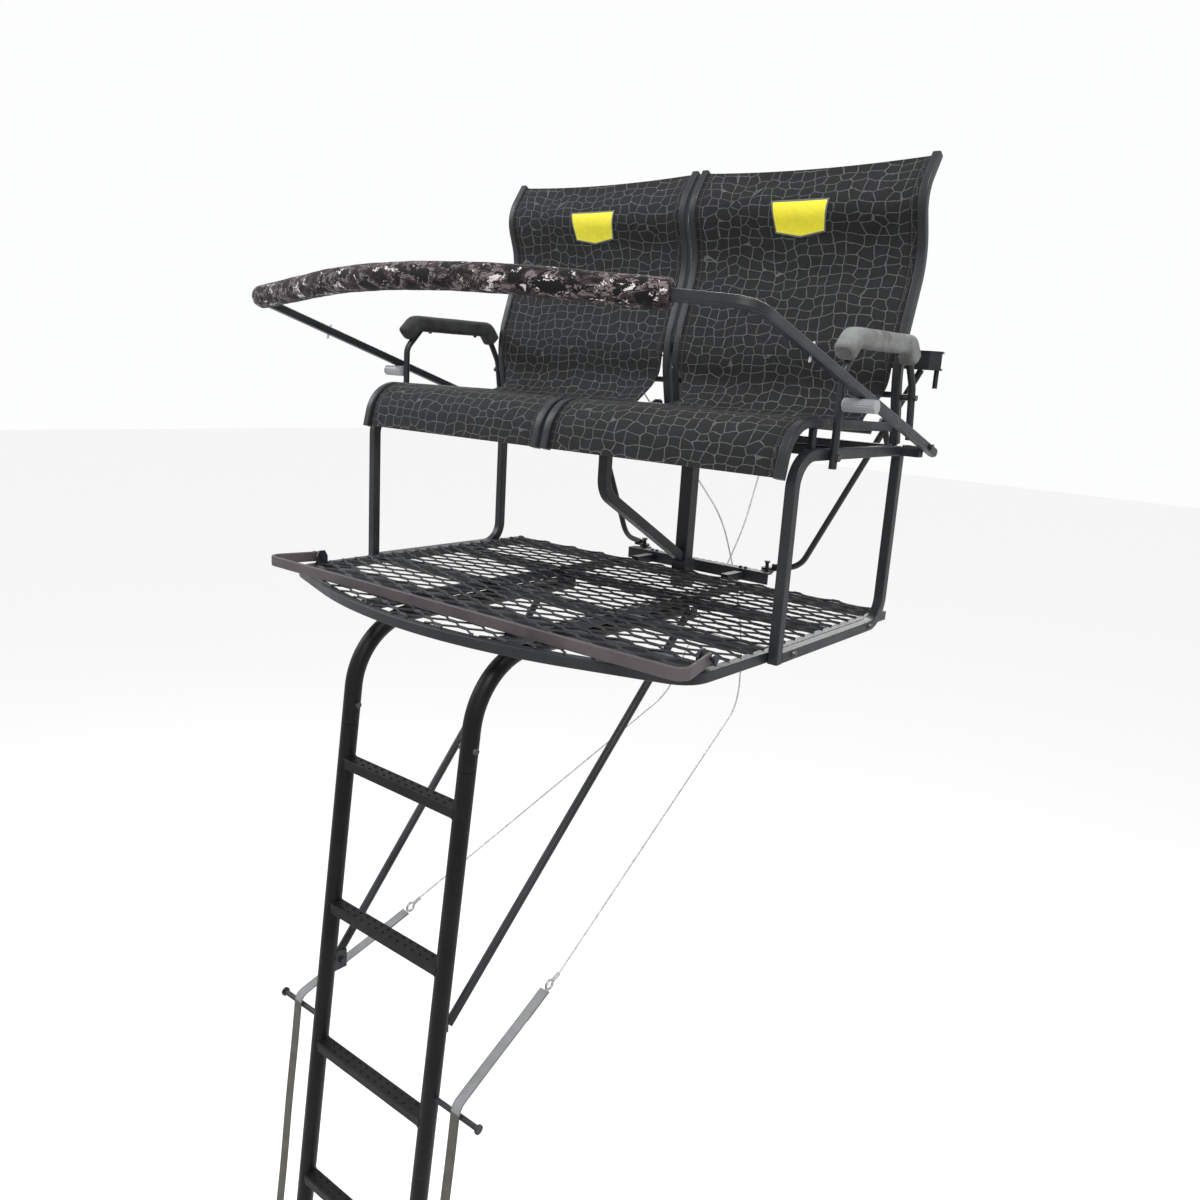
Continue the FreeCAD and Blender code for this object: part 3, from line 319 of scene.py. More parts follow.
class Shader:
    """Short ways to write a node material."""

    def __init__(self, name: str) -> None:
        """Args:
        name: the material's name.
        """
        self.material = bpy.data.materials.new(name)
        self.material.use_nodes = True
        self.tree = self.material.node_tree
        self.bsdf = self.tree.nodes["Principled BSDF"]

    def node(self, kind: str, inputs: Dict[str, object], **settings: object) -> bpy.types.Node:
        """Adds a node.

        Args:
            kind: its type.
            inputs: a value or a socket for each named input.
            settings: its properties.

        Returns: the node.
        """
        made = self.tree.nodes.new(kind)
        for key, value in settings.items():
            setattr(made, key, value)
        for key, value in inputs.items():
            socket = made.inputs[key]
            if isinstance(value, bpy.types.NodeSocket):
                self.tree.links.new(value, socket)
            else:
                socket.default_value = value
        return made

    def where(self, space: str = "Object", scale: Sequence[float] = (1, 1, 1)) -> bpy.types.NodeSocket:
        """Returns: texture coordinates of that space, scaled."""
        source = self.node("ShaderNodeTexCoord", {}).outputs[space]
        return self.node("ShaderNodeMapping", {"Vector": source, "Scale": scale}).outputs["Vector"]

    def noise(self, at: bpy.types.NodeSocket, scale: float, detail: float = 4.0,
              rough: float = 0.55) -> bpy.types.NodeSocket:
        """Returns: a noise value at those coordinates."""
        return self.node("ShaderNodeTexNoise", {"Vector": at, "Scale": scale, "Detail": detail,
                                                "Roughness": rough}).outputs["Fac"]

    def maths(self, operation: str, *values: object) -> bpy.types.NodeSocket:
        """Returns: the result of one arithmetic step."""
        made = self.node("ShaderNodeMath", {}, operation=operation)
        for socket, value in zip(made.inputs, values):
            if isinstance(value, bpy.types.NodeSocket):
                self.tree.links.new(value, socket)
            else:
                socket.default_value = value
        return made.outputs[0]

    def ramp(self, value: bpy.types.NodeSocket, stops: Sequence[Tuple[float, Colour]],
             steps: bool = False) -> bpy.types.NodeSocket:
        """Returns: a colour looked up on a ramp, stepped or smooth."""
        made = self.node("ShaderNodeValToRGB", {"Fac": value})
        ramp = made.color_ramp
        ramp.interpolation = "CONSTANT" if steps else "LINEAR"
        while len(ramp.elements) < len(stops):
            ramp.elements.new(0.5)
        for element, (place, colour) in zip(ramp.elements, stops):
            element.position = place
            element.color = (*colour, 1)
        return made.outputs["Color"]

    def mix(self, part: object, a: object, b: object) -> bpy.types.NodeSocket:
        """Returns: colour a turned to colour b by part."""
        made = self.node("ShaderNodeMix", {}, data_type="RGBA")
        for index, value in ((0, part), (6, a), (7, b)):
            if isinstance(value, bpy.types.NodeSocket):
                self.tree.links.new(value, made.inputs[index])
            else:
                made.inputs[index].default_value = value if index == 0 else (*value, 1)
        return made.outputs[2]

    def bump(self, height: bpy.types.NodeSocket, distance: float, strength: float = 1.0,
             under: Optional[bpy.types.NodeSocket] = None) -> bpy.types.NodeSocket:
        """Returns: a normal raised by a height, on top of an earlier one."""
        inputs: Dict[str, object] = {"Height": height, "Distance": distance, "Strength": strength}
        if under is not None:
            inputs["Normal"] = under
        return self.node("ShaderNodeBump", inputs).outputs["Normal"]

    def wear(self) -> bpy.types.NodeSocket:
        """Returns: 1 in scattered rubbed patches and 0 elsewhere."""
        at = self.where()
        spots = self.noise(at, 38.0, 8.0, 0.7)
        area = self.noise(at, 5.0, 2.0)
        return self.maths("MULTIPLY", self.maths("GREATER_THAN", spots, 0.68),
                          self.maths("GREATER_THAN", area, 0.55))

    def finish(self, base: object, rough: object, metal: float = 0.0, normal: Optional[object] = None,
               **fixed: float) -> bpy.types.Material:
        """Joins the parts to the surface.

        Args:
            base: colour or socket.
            rough: value or socket.
            metal: how metallic it is.
            normal: socket of the normal.
            fixed: values of other inputs.

        Returns: the material.
        """
        for key, value in (("Base Color", base), ("Roughness", rough), ("Normal", normal)):
            if isinstance(value, bpy.types.NodeSocket):
                self.tree.links.new(value, self.bsdf.inputs[key])
            elif value is not None:
                self.bsdf.inputs[key].default_value = (*value, 1) if key == "Base Color" else value
        self.bsdf.inputs["Metallic"].default_value = metal
        for key, value in fixed.items():
            self.bsdf.inputs[key.replace("_", " ")].default_value = value
        return self.material


@dataclass(frozen=True)
class PowderCoat:
    """Baked paint over steel: orange-peel bump, mottled colour, small chips."""

    name: str
    colour: Colour = (0.008, 0.0088, 0.0102)
    faded: Colour = (0.018, 0.02, 0.0232)
    chip: Colour = (0.085, 0.083, 0.08)
    rough: float = 0.38
    gloss: float = 0.27

    def build(self) -> bpy.types.Material:
        """Returns: the material."""
        s = Shader(self.name)
        at = s.where()
        cloud = s.noise(at, 9.0, 5.0)
        colour = s.ramp(cloud, [(0.3, self.colour), (0.72, self.faded)])
        chips = s.wear()
        colour = s.mix(chips, colour, self.chip)
        peel = s.noise(at, 420.0, 2.0)
        dust = s.noise(at, 30.0, 6.0)
        rough = s.maths("MULTIPLY_ADD", dust, 0.3, self.rough - 0.12)
        normal = s.bump(peel, 0.0006, 0.35, s.bump(chips, 0.0002, 0.4))
        return s.finish(colour, rough, 0.0, normal, Specular_IOR_Level=self.gloss)


@dataclass(frozen=True)
class Zinc:
    """Plated steel with fine brushed lines and dull patches."""

    name: str
    colour: Colour = (0.4, 0.4, 0.395)

    def build(self) -> bpy.types.Material:
        """Returns: the material."""
        s = Shader(self.name)
        at = s.where()
        cloud = s.noise(at, 60.0, 5.0)
        colour = s.ramp(cloud, [(0.3, tuple(c * 0.62 for c in self.colour)), (0.7, self.colour)])
        fine = s.noise(s.where(scale=(1, 1, 12)), 300.0, 3.0)
        rough = s.maths("MULTIPLY_ADD", cloud, 0.35, 0.2)
        return s.finish(colour, rough, 0.85, s.bump(fine, 0.0003, 0.4))


@dataclass(frozen=True)
class ScaleFabric:
    """Coated charcoal cloth printed with pale cracked-scale lines; UV is in metres."""

    name: str
    ground: Colour = (0.0075, 0.0078, 0.0084)
    line: Colour = (0.1, 0.102, 0.105)
    cell: Tuple[float, float] = (0.0315, 0.0235)
    half_width: float = 0.286

    def build(self) -> bpy.types.Material:
        """Returns: the material."""
        s = Shader(self.name)
        uv = s.where("UV")
        bend = s.node("ShaderNodeTexNoise", {"Vector": uv, "Scale": 7.0, "Detail": 4.0}).outputs["Color"]
        shift = s.node("ShaderNodeVectorMath", {0: bend, 1: (0.06, 0.06, 0.0)},
                       operation="MULTIPLY").outputs[0]
        moved = s.node("ShaderNodeVectorMath", {0: uv, 1: shift}, operation="ADD").outputs[0]
        sized = s.node("ShaderNodeVectorMath", {0: moved, 1: (1 / self.cell[0], 1 / self.cell[1], 0.0)},
                       operation="MULTIPLY").outputs[0]
        cells = s.node("ShaderNodeTexVoronoi", {"Vector": sized, "Scale": 1.0, "Randomness": 0.43},
                       feature="DISTANCE_TO_EDGE").outputs["Distance"]
        crack = s.noise(uv, 130.0, 6.0, 0.7)
        width = s.maths("MULTIPLY_ADD", crack, 0.1, -0.014)
        edge = s.maths("LESS_THAN", cells, width)
        tone = s.noise(uv, 14.0, 4.0)
        ground = s.ramp(tone, [(0.3, self.ground), (0.75, tuple(c * 1.7 for c in self.ground))])
        line = s.mix(s.noise(uv, 60.0, 3.0), self.line, tuple(c * 0.6 for c in self.line))
        colour = s.mix(s.maths("MULTIPLY", edge, 0.85), ground, line)
        split = s.node("ShaderNodeSeparateXYZ", {"Vector": uv})
        u, v = split.outputs["X"], split.outputs["Y"]
        inset = s.maths("SUBTRACT", self.half_width, s.maths("ABSOLUTE", u))
        row = s.maths("LESS_THAN", s.maths("ABSOLUTE", s.maths("SUBTRACT", inset, 0.012)), 0.0009)
        dash = s.maths("LESS_THAN", s.maths("FRACT", s.maths("MULTIPLY", v, 150.0)), 0.62)
        stitch = s.maths("MULTIPLY", row, dash)
        hem = s.maths("LESS_THAN", inset, 0.019)
        colour = s.mix(s.maths("MULTIPLY", hem, 0.55), colour, tuple(c * 0.8 for c in self.ground))
        colour = s.mix(stitch, colour, (0.06, 0.06, 0.06))
        warp = s.maths("SINE", s.maths("MULTIPLY", u, 5200.0))
        weft = s.maths("SINE", s.maths("MULTIPLY", v, 5200.0))
        weave = s.maths("MULTIPLY", warp, weft)
        normal = s.bump(weave, 0.0002, 0.35)
        normal = s.bump(s.noise(uv, 9.0, 3.0), 0.006, 0.28, normal)
        normal = s.bump(s.maths("ADD", stitch, s.maths("MULTIPLY", hem, 0.8)), 0.0008, 0.8, normal)
        rough = s.maths("MULTIPLY_ADD", tone, 0.25, 0.6)
        return s.finish(colour, rough, 0.0, normal, Sheen_Weight=0.02, Specular_IOR_Level=0.16)


@dataclass(frozen=True)
class Foam:
    """Closed-cell foam: matt, pitted, browner where it is rubbed."""

    name: str
    colour: Colour
    rubbed: Colour

    def build(self) -> bpy.types.Material:
        """Returns: the material."""
        s = Shader(self.name)
        at = s.where()
        cloud = s.noise(at, 22.0, 5.0)
        colour = s.ramp(cloud, [(0.35, self.rubbed), (0.6, self.colour)])
        pits = s.node("ShaderNodeTexVoronoi", {"Vector": at, "Scale": 700.0}).outputs["Distance"]
        scuff = s.maths("GREATER_THAN", s.noise(s.where(scale=(1, 0.25, 1)), 150.0, 4.0), 0.66)
        colour = s.mix(s.maths("MULTIPLY", scuff, 0.35), colour, self.rubbed)
        normal = s.bump(pits, 0.0005, 0.5, s.bump(cloud, 0.002, 0.3))
        rough = s.maths("MULTIPLY_ADD", cloud, 0.2, 0.72)
        return s.finish(colour, rough, 0.0, normal, Specular_IOR_Level=0.2)


@dataclass(frozen=True)
class Camouflage:
    """Printed cover in four tones of torn, leaf-like patches."""

    name: str
    dark: Colour = (0.004, 0.0035, 0.004)
    brown: Colour = (0.032, 0.021, 0.023)
    grey: Colour = (0.12, 0.1, 0.1)
    pale: Colour = (0.5, 0.46, 0.45)

    def build(self) -> bpy.types.Material:
        """Returns: the material."""
        s = Shader(self.name)
        at = s.where(scale=(0.8, 1.2, 1.3))
        warp = s.node("ShaderNodeTexNoise", {"Vector": at, "Scale": 24.0, "Detail": 5.0}).outputs["Color"]
        push = s.node("ShaderNodeVectorMath", {0: warp, 1: (0.035, 0.035, 0.035)},
                      operation="MULTIPLY").outputs[0]
        moved = s.node("ShaderNodeVectorMath", {0: at, 1: push}, operation="ADD").outputs[0]
        big = s.noise(moved, 23.0, 5.0, 0.62)
        colour = s.ramp(big, [(0.0, self.dark), (0.43, self.brown), (0.5, self.grey), (0.55, self.dark)],
                        True)
        fleck = s.noise(moved, 34.0, 7.0, 0.68)
        colour = s.mix(s.maths("GREATER_THAN", fleck, 0.605), colour, self.pale)
        twig = s.node("ShaderNodeTexVoronoi", {"Vector": moved, "Scale": 42.0},
                      feature="DISTANCE_TO_EDGE").outputs["Distance"]
        colour = s.mix(s.maths("LESS_THAN", twig, 0.035), colour, self.dark)
        cloth = s.noise(s.where(), 900.0, 2.0)
        normal = s.bump(cloth, 0.0004, 0.4, s.bump(s.noise(s.where(), 16.0, 4.0), 0.004, 0.5))
        return s.finish(colour, 0.8, 0.0, normal, Sheen_Weight=0.02, Specular_IOR_Level=0.16)


@dataclass(frozen=True)
class Webbing:
    """Flat woven strap: herring-bone ribs across it; UV is in metres. Above a set height, on the level run
    from the thimble over the peg, which faces up to the light, it is painted paler: a painted highlight.
    """

    name: str
    colour: Colour
    # colour of the painted highlight on the level run over the peg, where the strap faces up to the light
    pale: Colour
    # height above which the strap gets the painted highlight
    painted_highlight_z: float = -0.968
    half_width: float = 0.0125

    def build(self) -> bpy.types.Material:
        """Returns: the material."""
        s = Shader(self.name)
        uv = s.where("UV")
        split = s.node("ShaderNodeSeparateXYZ", {"Vector": uv})
        u, v = split.outputs["X"], split.outputs["Y"]
        slant = s.maths("ADD", v, s.maths("MULTIPLY", s.maths("ABSOLUTE", u), 0.8))
        ribs = s.maths("SINE", s.maths("MULTIPLY", slant, 3600.0))
        warp = s.maths("SINE", s.maths("MULTIPLY", u, 4200.0))
        tone = s.noise(uv, 35.0, 5.0)
        dark = tuple(c * 0.6 for c in self.colour)
        colour = s.ramp(tone, [(0.3, dark), (0.7, self.colour)])
        # painted highlight: above the set height, the level run over the peg that faces up is painted in the
        # paler colour
        height = s.node("ShaderNodeSeparateXYZ", {"Vector": s.where()}).outputs["Z"]
        bright = s.ramp(tone, [(0.3, tuple(c * 0.8 for c in self.pale)), (0.7, self.pale)])
        colour = s.mix(s.maths("GREATER_THAN", height, self.painted_highlight_z), colour, bright)
        edge = s.maths("GREATER_THAN", s.maths("ABSOLUTE", u), self.half_width - 0.0022)
        colour = s.mix(s.maths("MULTIPLY", edge, 0.5), colour, dark)
        normal = s.bump(s.maths("MULTIPLY", ribs, warp), 0.0004, 0.7)
        return s.finish(colour, 0.78, 0.0, s.bump(edge, 0.0005, 0.5, normal))


@dataclass(frozen=True)
class Patch:
    """Bright woven patch with a dark stitched border; UV runs from 0 to 1."""

    name: str
    colour: Colour = (0.78, 0.7, 0.02)
    border: Colour = (0.085, 0.092, 0.1)

    def build(self) -> bpy.types.Material:
        """Returns: the material."""
        s = Shader(self.name)
        split = s.node("ShaderNodeSeparateXYZ", {"Vector": s.where("UV")})
        u, v = split.outputs["X"], split.outputs["Y"]
        far_u = s.maths("ABSOLUTE", s.maths("SUBTRACT", u, 0.5))
        far_v = s.maths("ABSOLUTE", s.maths("SUBTRACT", v, 0.5))
        rim = s.maths("MAXIMUM", s.maths("GREATER_THAN", far_u, 0.472), s.maths("GREATER_THAN", far_v, 0.45))
        tone = s.noise(s.where(), 90.0, 4.0)
        yellow = s.mix(tone, self.colour, tuple(c * 0.72 for c in self.colour))
        colour = s.mix(rim, yellow, self.border)
        thread = s.maths("MULTIPLY", s.maths("SINE", s.maths("MULTIPLY", u, 420.0)),
                         s.maths("SINE", s.maths("MULTIPLY", v, 210.0)))
        return s.finish(colour, 0.6, 0.0, s.bump(thread, 0.0003, 0.5, s.bump(rim, 0.0008, 0.6)))


@dataclass(frozen=True)
class Plastic:
    """Moulded plastic with faint flow marks."""

    name: str
    colour: Colour
    rough: float = 0.35
    through: float = 0.0

    def build(self) -> bpy.types.Material:
        """Returns: the material."""
        s = Shader(self.name)
        at = s.where()
        tone = s.noise(at, 45.0, 4.0)
        colour = s.mix(tone, self.colour, tuple(c * 0.78 for c in self.colour))
        rough = s.maths("MULTIPLY_ADD", tone, 0.2, self.rough - 0.08)
        normal = s.bump(s.noise(at, 380.0, 2.0), 0.0003, 0.4)
        return s.finish(colour, rough, 0.0, normal, Transmission_Weight=self.through)


class Finishes:
    """Every material, built once."""

    def __init__(self) -> None:
        """Builds the materials."""
        self.tube = PowderCoat("black_powder_coat").build()
        self.mesh = PowderCoat("deck_powder_coat", (0.0075, 0.008, 0.009), (0.017, 0.018, 0.021),
                               rough=0.46).build()
        self.rung = PowderCoat("ladder_powder_coat", (0.0024, 0.0025, 0.0028), (0.006, 0.0063, 0.007),
                               (0.05, 0.049, 0.047), 0.42, 0.14).build()
        self.foot = PowderCoat("mauve_powder_coat", (0.045, 0.037, 0.041), (0.08, 0.066, 0.072),
                               (0.2, 0.18, 0.17), 0.5).build()
        self.zinc = Zinc("zinc_plate").build()
        self.bolt = Zinc("blackened_bolt", (0.07, 0.07, 0.072)).build()
        self.rope = Zinc("galvanised_rope", (0.6, 0.6, 0.58)).build()
        self.fabric = ScaleFabric("scale_fabric").build()
        self.pad_pale = Foam("pale_foam", (0.155, 0.168, 0.168), (0.1, 0.094, 0.086)).build()
        self.pad_dark = Foam("dark_foam", (0.032, 0.034, 0.036), (0.02, 0.02, 0.021)).build()
        self.camo = Camouflage("camo_cover").build()
        # the second, paler colour is a painted highlight on the strap's level run over the peg, not a second
        # colour of webbing
        self.strap = Webbing("webbing_painted_highlight_over_peg", (0.085, 0.08, 0.064), (0.22, 0.23, 0.235)).build()
        self.patch = Patch("yellow_patch").build()
        self.peg = Plastic("ribbed_plastic", (0.3, 0.31, 0.32), 0.2, 0.25).build()
        self.cap = Plastic("pale_plug", (0.42, 0.42, 0.4), 0.4).build()

    def dress_cad(self) -> None:
        """Gives each CAD node that stays in sight its finish, by its record slot."""
        by_slot = {"tube": self.tube, "mesh": self.mesh, "sling": self.fabric, "pad_light": self.pad_pale,
                   "pad_dark": self.pad_dark, "camo": self.camo, "footbar": self.foot, "zinc": self.zinc,
                   "peg": self.peg, "cap": self.cap, "cable": self.rope, "webbing": self.strap}
        slots = {row["node"]: row["material_slot"] for row in frame["record"]["subparts"]}
        special = {"frame_bolts": self.bolt, "ladder_joint_bolts": self.bolt, "lower_blade_bolts": self.bolt,
                   "pan_hinge_bolts": self.bolt, "armrest_fixings": self.bolt, "strap_buckles": self.bolt,
                   "ladder_section_upper": self.rung, "ladder_section_middle": self.rung,
                   "ladder_section_lower": self.rung, "ladder_gooseneck_left": self.rung,
                   "ladder_gooseneck_right": self.rung}
        for name, node in frame["nodes"].items():
            chosen = special.get(name, by_slot[slots[name]])
            node.data.materials.clear()
            node.data.materials.append(chosen)
        LOG.info("dressed %d CAD nodes", len(slots))


def place(made: bpy.types.Object, body: Body, slot: str, *nodes: str) -> bpy.types.Object:
    """Hangs a piece on a body.

    Args:
        made: the piece.
        body: the body that it rides on.
        slot: the record's material slot; not used.
        nodes: CAD nodes that it stands for.

    Returns: the piece.
    """
    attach(made, body.value)
    if nodes:
        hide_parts(*nodes)
    return made


# ---- seats ---------------------------------------------------------------------------------


@dataclass
class SeatSling:
    """One sheet of cloth from the front of the pan, up the back, between two side tubes.

    The middle surface is profile(s) + X x, where s runs along the cloth. It sags by
    sag (1 - (2x/w)^2) along the normal, and it narrows where the seat meets the back.
    """

    side: Side
    inner: float = 25.0
    outer: float = 597.0
    thick: float = 2.2
    corners: Tuple[Tuple[float, float], ...] = (
        (-705, 337), (-680, 449), (-214, 438), (-230, 571), (-163, 797), (-210, 923), (-156, 1006))
    bends: Tuple[float, ...] = (92, 76, 150, 170, 90)
    sag: float = 6.0
    notch: float = 34.0
    dip: float = 12.0

    def profile(self) -> np.ndarray:
        """Returns: samples of the middle line in the plane x = 0."""
        return rounded_path([(0, y, z) for y, z in self.corners], self.bends, 0.006)

    def centre(self) -> float:
        """Returns: X of the seat's middle, in metres."""
        return self.side.value * (self.inner + self.outer) / 2 * MM

    def surface(self) -> Tuple[np.ndarray, np.ndarray, np.ndarray]:
        """Returns: middle surface, normals and UV in metres."""
        line = self.profile()
        s = along(line)
        total = s[-1]
        t = np.linspace(-1, 1, 61)
        join = s[int(np.argmin(np.linalg.norm(line[:, 1:] - np.array([-0.262, 0.462]), axis=1)))]
        pinch = np.exp(-((s - join) / 0.062) ** 2)
        half = ((self.outer - self.inner) / 2 - 0.4 - self.notch * pinch) * MM
        drop = self.dip * MM * (1 - t ** 2)
        reach = s[:, None] * (1 - drop[None] / total)
        y = np.interp(reach, s, line[:, 1])
        z = np.interp(reach, s, line[:, 2])
        tangent = unit(np.gradient(line, axis=0))
        normal = np.cross(tangent, [1.0, 0, 0])
        ny, nz = np.interp(reach, s, normal[:, 1]), np.interp(reach, s, normal[:, 2])
        free = np.clip((s - 0.14) / 0.12, 0, 1) * np.clip((total - s) / 0.02, 0, 1)
        depth = self.sag * MM * free[:, None] * (1 - t[None] ** 2)
        ripple = 0.0011 * free[:, None] * np.sin(s[:, None] * 61 + 2 * t[None]) * (1 - np.abs(t[None])) ** 0.5
        lean = np.stack([np.zeros_like(y), ny, nz], -1)
        lean = unit(lean)
        x = self.centre() + half[:, None] * t[None]
        middle = np.stack([x, y, z], -1) + lean * (depth + ripple)[..., None]
        uv = np.stack([half[:, None] * t[None], reach], -1)
        return middle, -lean, uv

    def build(self, finishes: Finishes) -> None:
        """Args:
        finishes: the materials.
        """
        middle, normal, uv = self.surface()
        skin = Skin()
        skin.sheet(middle, normal, self.thick * MM, uv)
        cloth = skin.make(f"seat_cloth_{self.side.word}", [finishes.fabric], 60)
        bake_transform(cloth)
        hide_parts(f"seat_pan_sling_{self.side.word}", f"seat_back_sling_{self.side.word}")


@dataclass
class BackPatch:
    """Plain bright patch sewn to the back of a seat, laid on the cloth.

    Its width goes evenly from low to top, and its lower edge dips by point (1 - |2t|) in the middle.
    """

    sling: SeatSling
    top: float = 150.0
    low: float = 130.0
    z_low: float = 855.0
    z_top: float = 926.0
    point: float = 11.0
    thick: float = 1.2

    def build(self, finishes: Finishes) -> None:
        """Args:
        finishes: the materials.
        """
        middle = self.sling.surface()[0]
        centre = self.sling.centre()
        t = np.linspace(-0.5, 0.5, 21)
        v = np.linspace(0, 1, 16)
        low = self.z_low - self.point * (1 - np.abs(2 * t))
        z = (low[None] + (self.z_top - low[None]) * v[:, None]) * MM
        x = centre + (self.low + (self.top - self.low) * v)[:, None] * MM * t[None]
        levels = np.linspace(self.z_low - self.point - 2, self.z_top + 2, 30) * MM
        columns = middle.transpose(1, 0, 2)
        ahead = np.array([np.interp(levels, column[:, 2], column[:, 1]) for column in columns])
        across = np.interp(x, middle[-1, :, 0], np.arange(middle.shape[1]))
        up = np.interp(z, levels, np.arange(len(levels)))
        c0, r0 = np.floor(across).astype(int), np.floor(up).astype(int)
        fc, fr = across - c0, up - r0
        y = ((1 - fc) * (1 - fr) * ahead[c0, r0] + fc * (1 - fr) * ahead[c0 + 1, r0]
             + (1 - fc) * fr * ahead[c0, r0 + 1] + fc * fr * ahead[c0 + 1, r0 + 1])
        points = np.stack([x, y - (self.sling.thick / 2 + self.thick) * MM, z], -1)
        facing = np.repeat(np.repeat([[[0.0, -1.0, 0.0]]], len(v), 0), len(t), 1)
        uv = np.stack(np.meshgrid(t + 0.5, v), -1)
        skin = Skin()
        skin.sheet(points, facing, self.thick * MM, uv)
        made = skin.make(f"seat_patch_{self.sling.side.word}", [finishes.patch])
        place(made, Body.STAND, "sling")


# ---- armrests and rail -----------------------------------------------------------------------


@dataclass
class ArmPad:
    """Foam pad on an armrest: a squarish tube with drooping, rounded ends."""

    side: Side
    x: float = 638.5
    corners: Tuple[Tuple[float, float], ...] = ((-556, 574), (-524, 606), (-258, 607), (-231, 575))
    bends: Tuple[float, ...] = (24, 22)
    wide: float = 42.0
    tall: float = 41.0

    def build(self, finishes: Finishes) -> None:
        """Args:
        finishes: the materials.
        """
        line = rounded_path([(self.side.value * self.x, y, z) for y, z in self.corners], self.bends, 0.003)
        s = along(line)
        near = np.minimum(s, s[-1] - s)
        r = 0.007
        grow = 0.78 + 0.22 * np.sqrt(np.clip(1 - (1 - np.minimum(near / r, 1)) ** 2, 0, 1))
        grow = grow + 0.008 * np.sin(s * 47 + self.side.value)
        skin = Skin()
        skin.tube(line, (0, 0, 1), superellipse(self.wide * MM, self.tall * MM, 3.4, 48), grow)
        paint = finishes.pad_pale if self.side is Side.RIGHT else finishes.pad_dark
        made = skin.make(f"arm_foam_{self.side.word}", [paint], 40)
        slot = "pad_light" if self.side is Side.RIGHT else "pad_dark"
        place(made, Body.STAND, slot, f"armrest_pad_{self.side.word}")


@dataclass
class RailCover:
    """Padded camouflage cover on the rail: a round tube with lengthwise seams and soft folds."""

    hinge: Tuple[float, float] = (-189.0, 392.0)
    slope: float = 0.305
    corner: Tuple[float, float] = (682.0, -974.0)
    bow: float = 150.0
    radius: float = 26.0
    bow_radius: float = 1500.0
    ends: Tuple[float, float] = (-655.0, 545.0)

    def height(self, y: float) -> float:
        """Returns: height of the rail's plane at y."""
        return self.hinge[1] + self.slope * (self.hinge[0] - y)

    def build(self, finishes: Finishes) -> None:
        """Args:
        finishes: the materials.
        """
        x, y = self.corner
        apex = y - self.bow
        line = rounded_path([(-x, y, self.height(y)), (0, apex, self.height(apex)), (x, y, self.height(y))],
                            [self.bow_radius], 0.004)
        keep = (line[:, 0] > self.ends[0] * MM) & (line[:, 0] < self.ends[1] * MM)
        line = line[keep]
        s = along(line)
        near = np.minimum(s, s[-1] - s)
        grow = 0.8 + 0.2 * np.sqrt(np.clip(1 - (1 - np.minimum(near / 0.006, 1)) ** 2, 0, 1))
        grow = grow * (1 + 0.01 * np.sin(s * 39) + 0.007 * np.sin(s * 103 + 1))
        angle = np.linspace(0, 2 * np.pi, 64, endpoint=False)
        seam = 1 - 0.03 * np.exp(-(((angle - 1.6 * np.pi + np.pi) % (2 * np.pi) - np.pi) / 0.06) ** 2)
        outline = self.radius * MM * seam[:, None] * np.stack([np.cos(angle), np.sin(angle)], 1)
        skin = Skin()
        skin.tube(line, (0, 0, 1), outline, grow)
        made = skin.make("rail_cover", [finishes.camo], 40)
        place(made, Body.RAIL, "camo", "shooting_rail_sleeve")


# ---- deck -------------------------------------------------------------------------------------


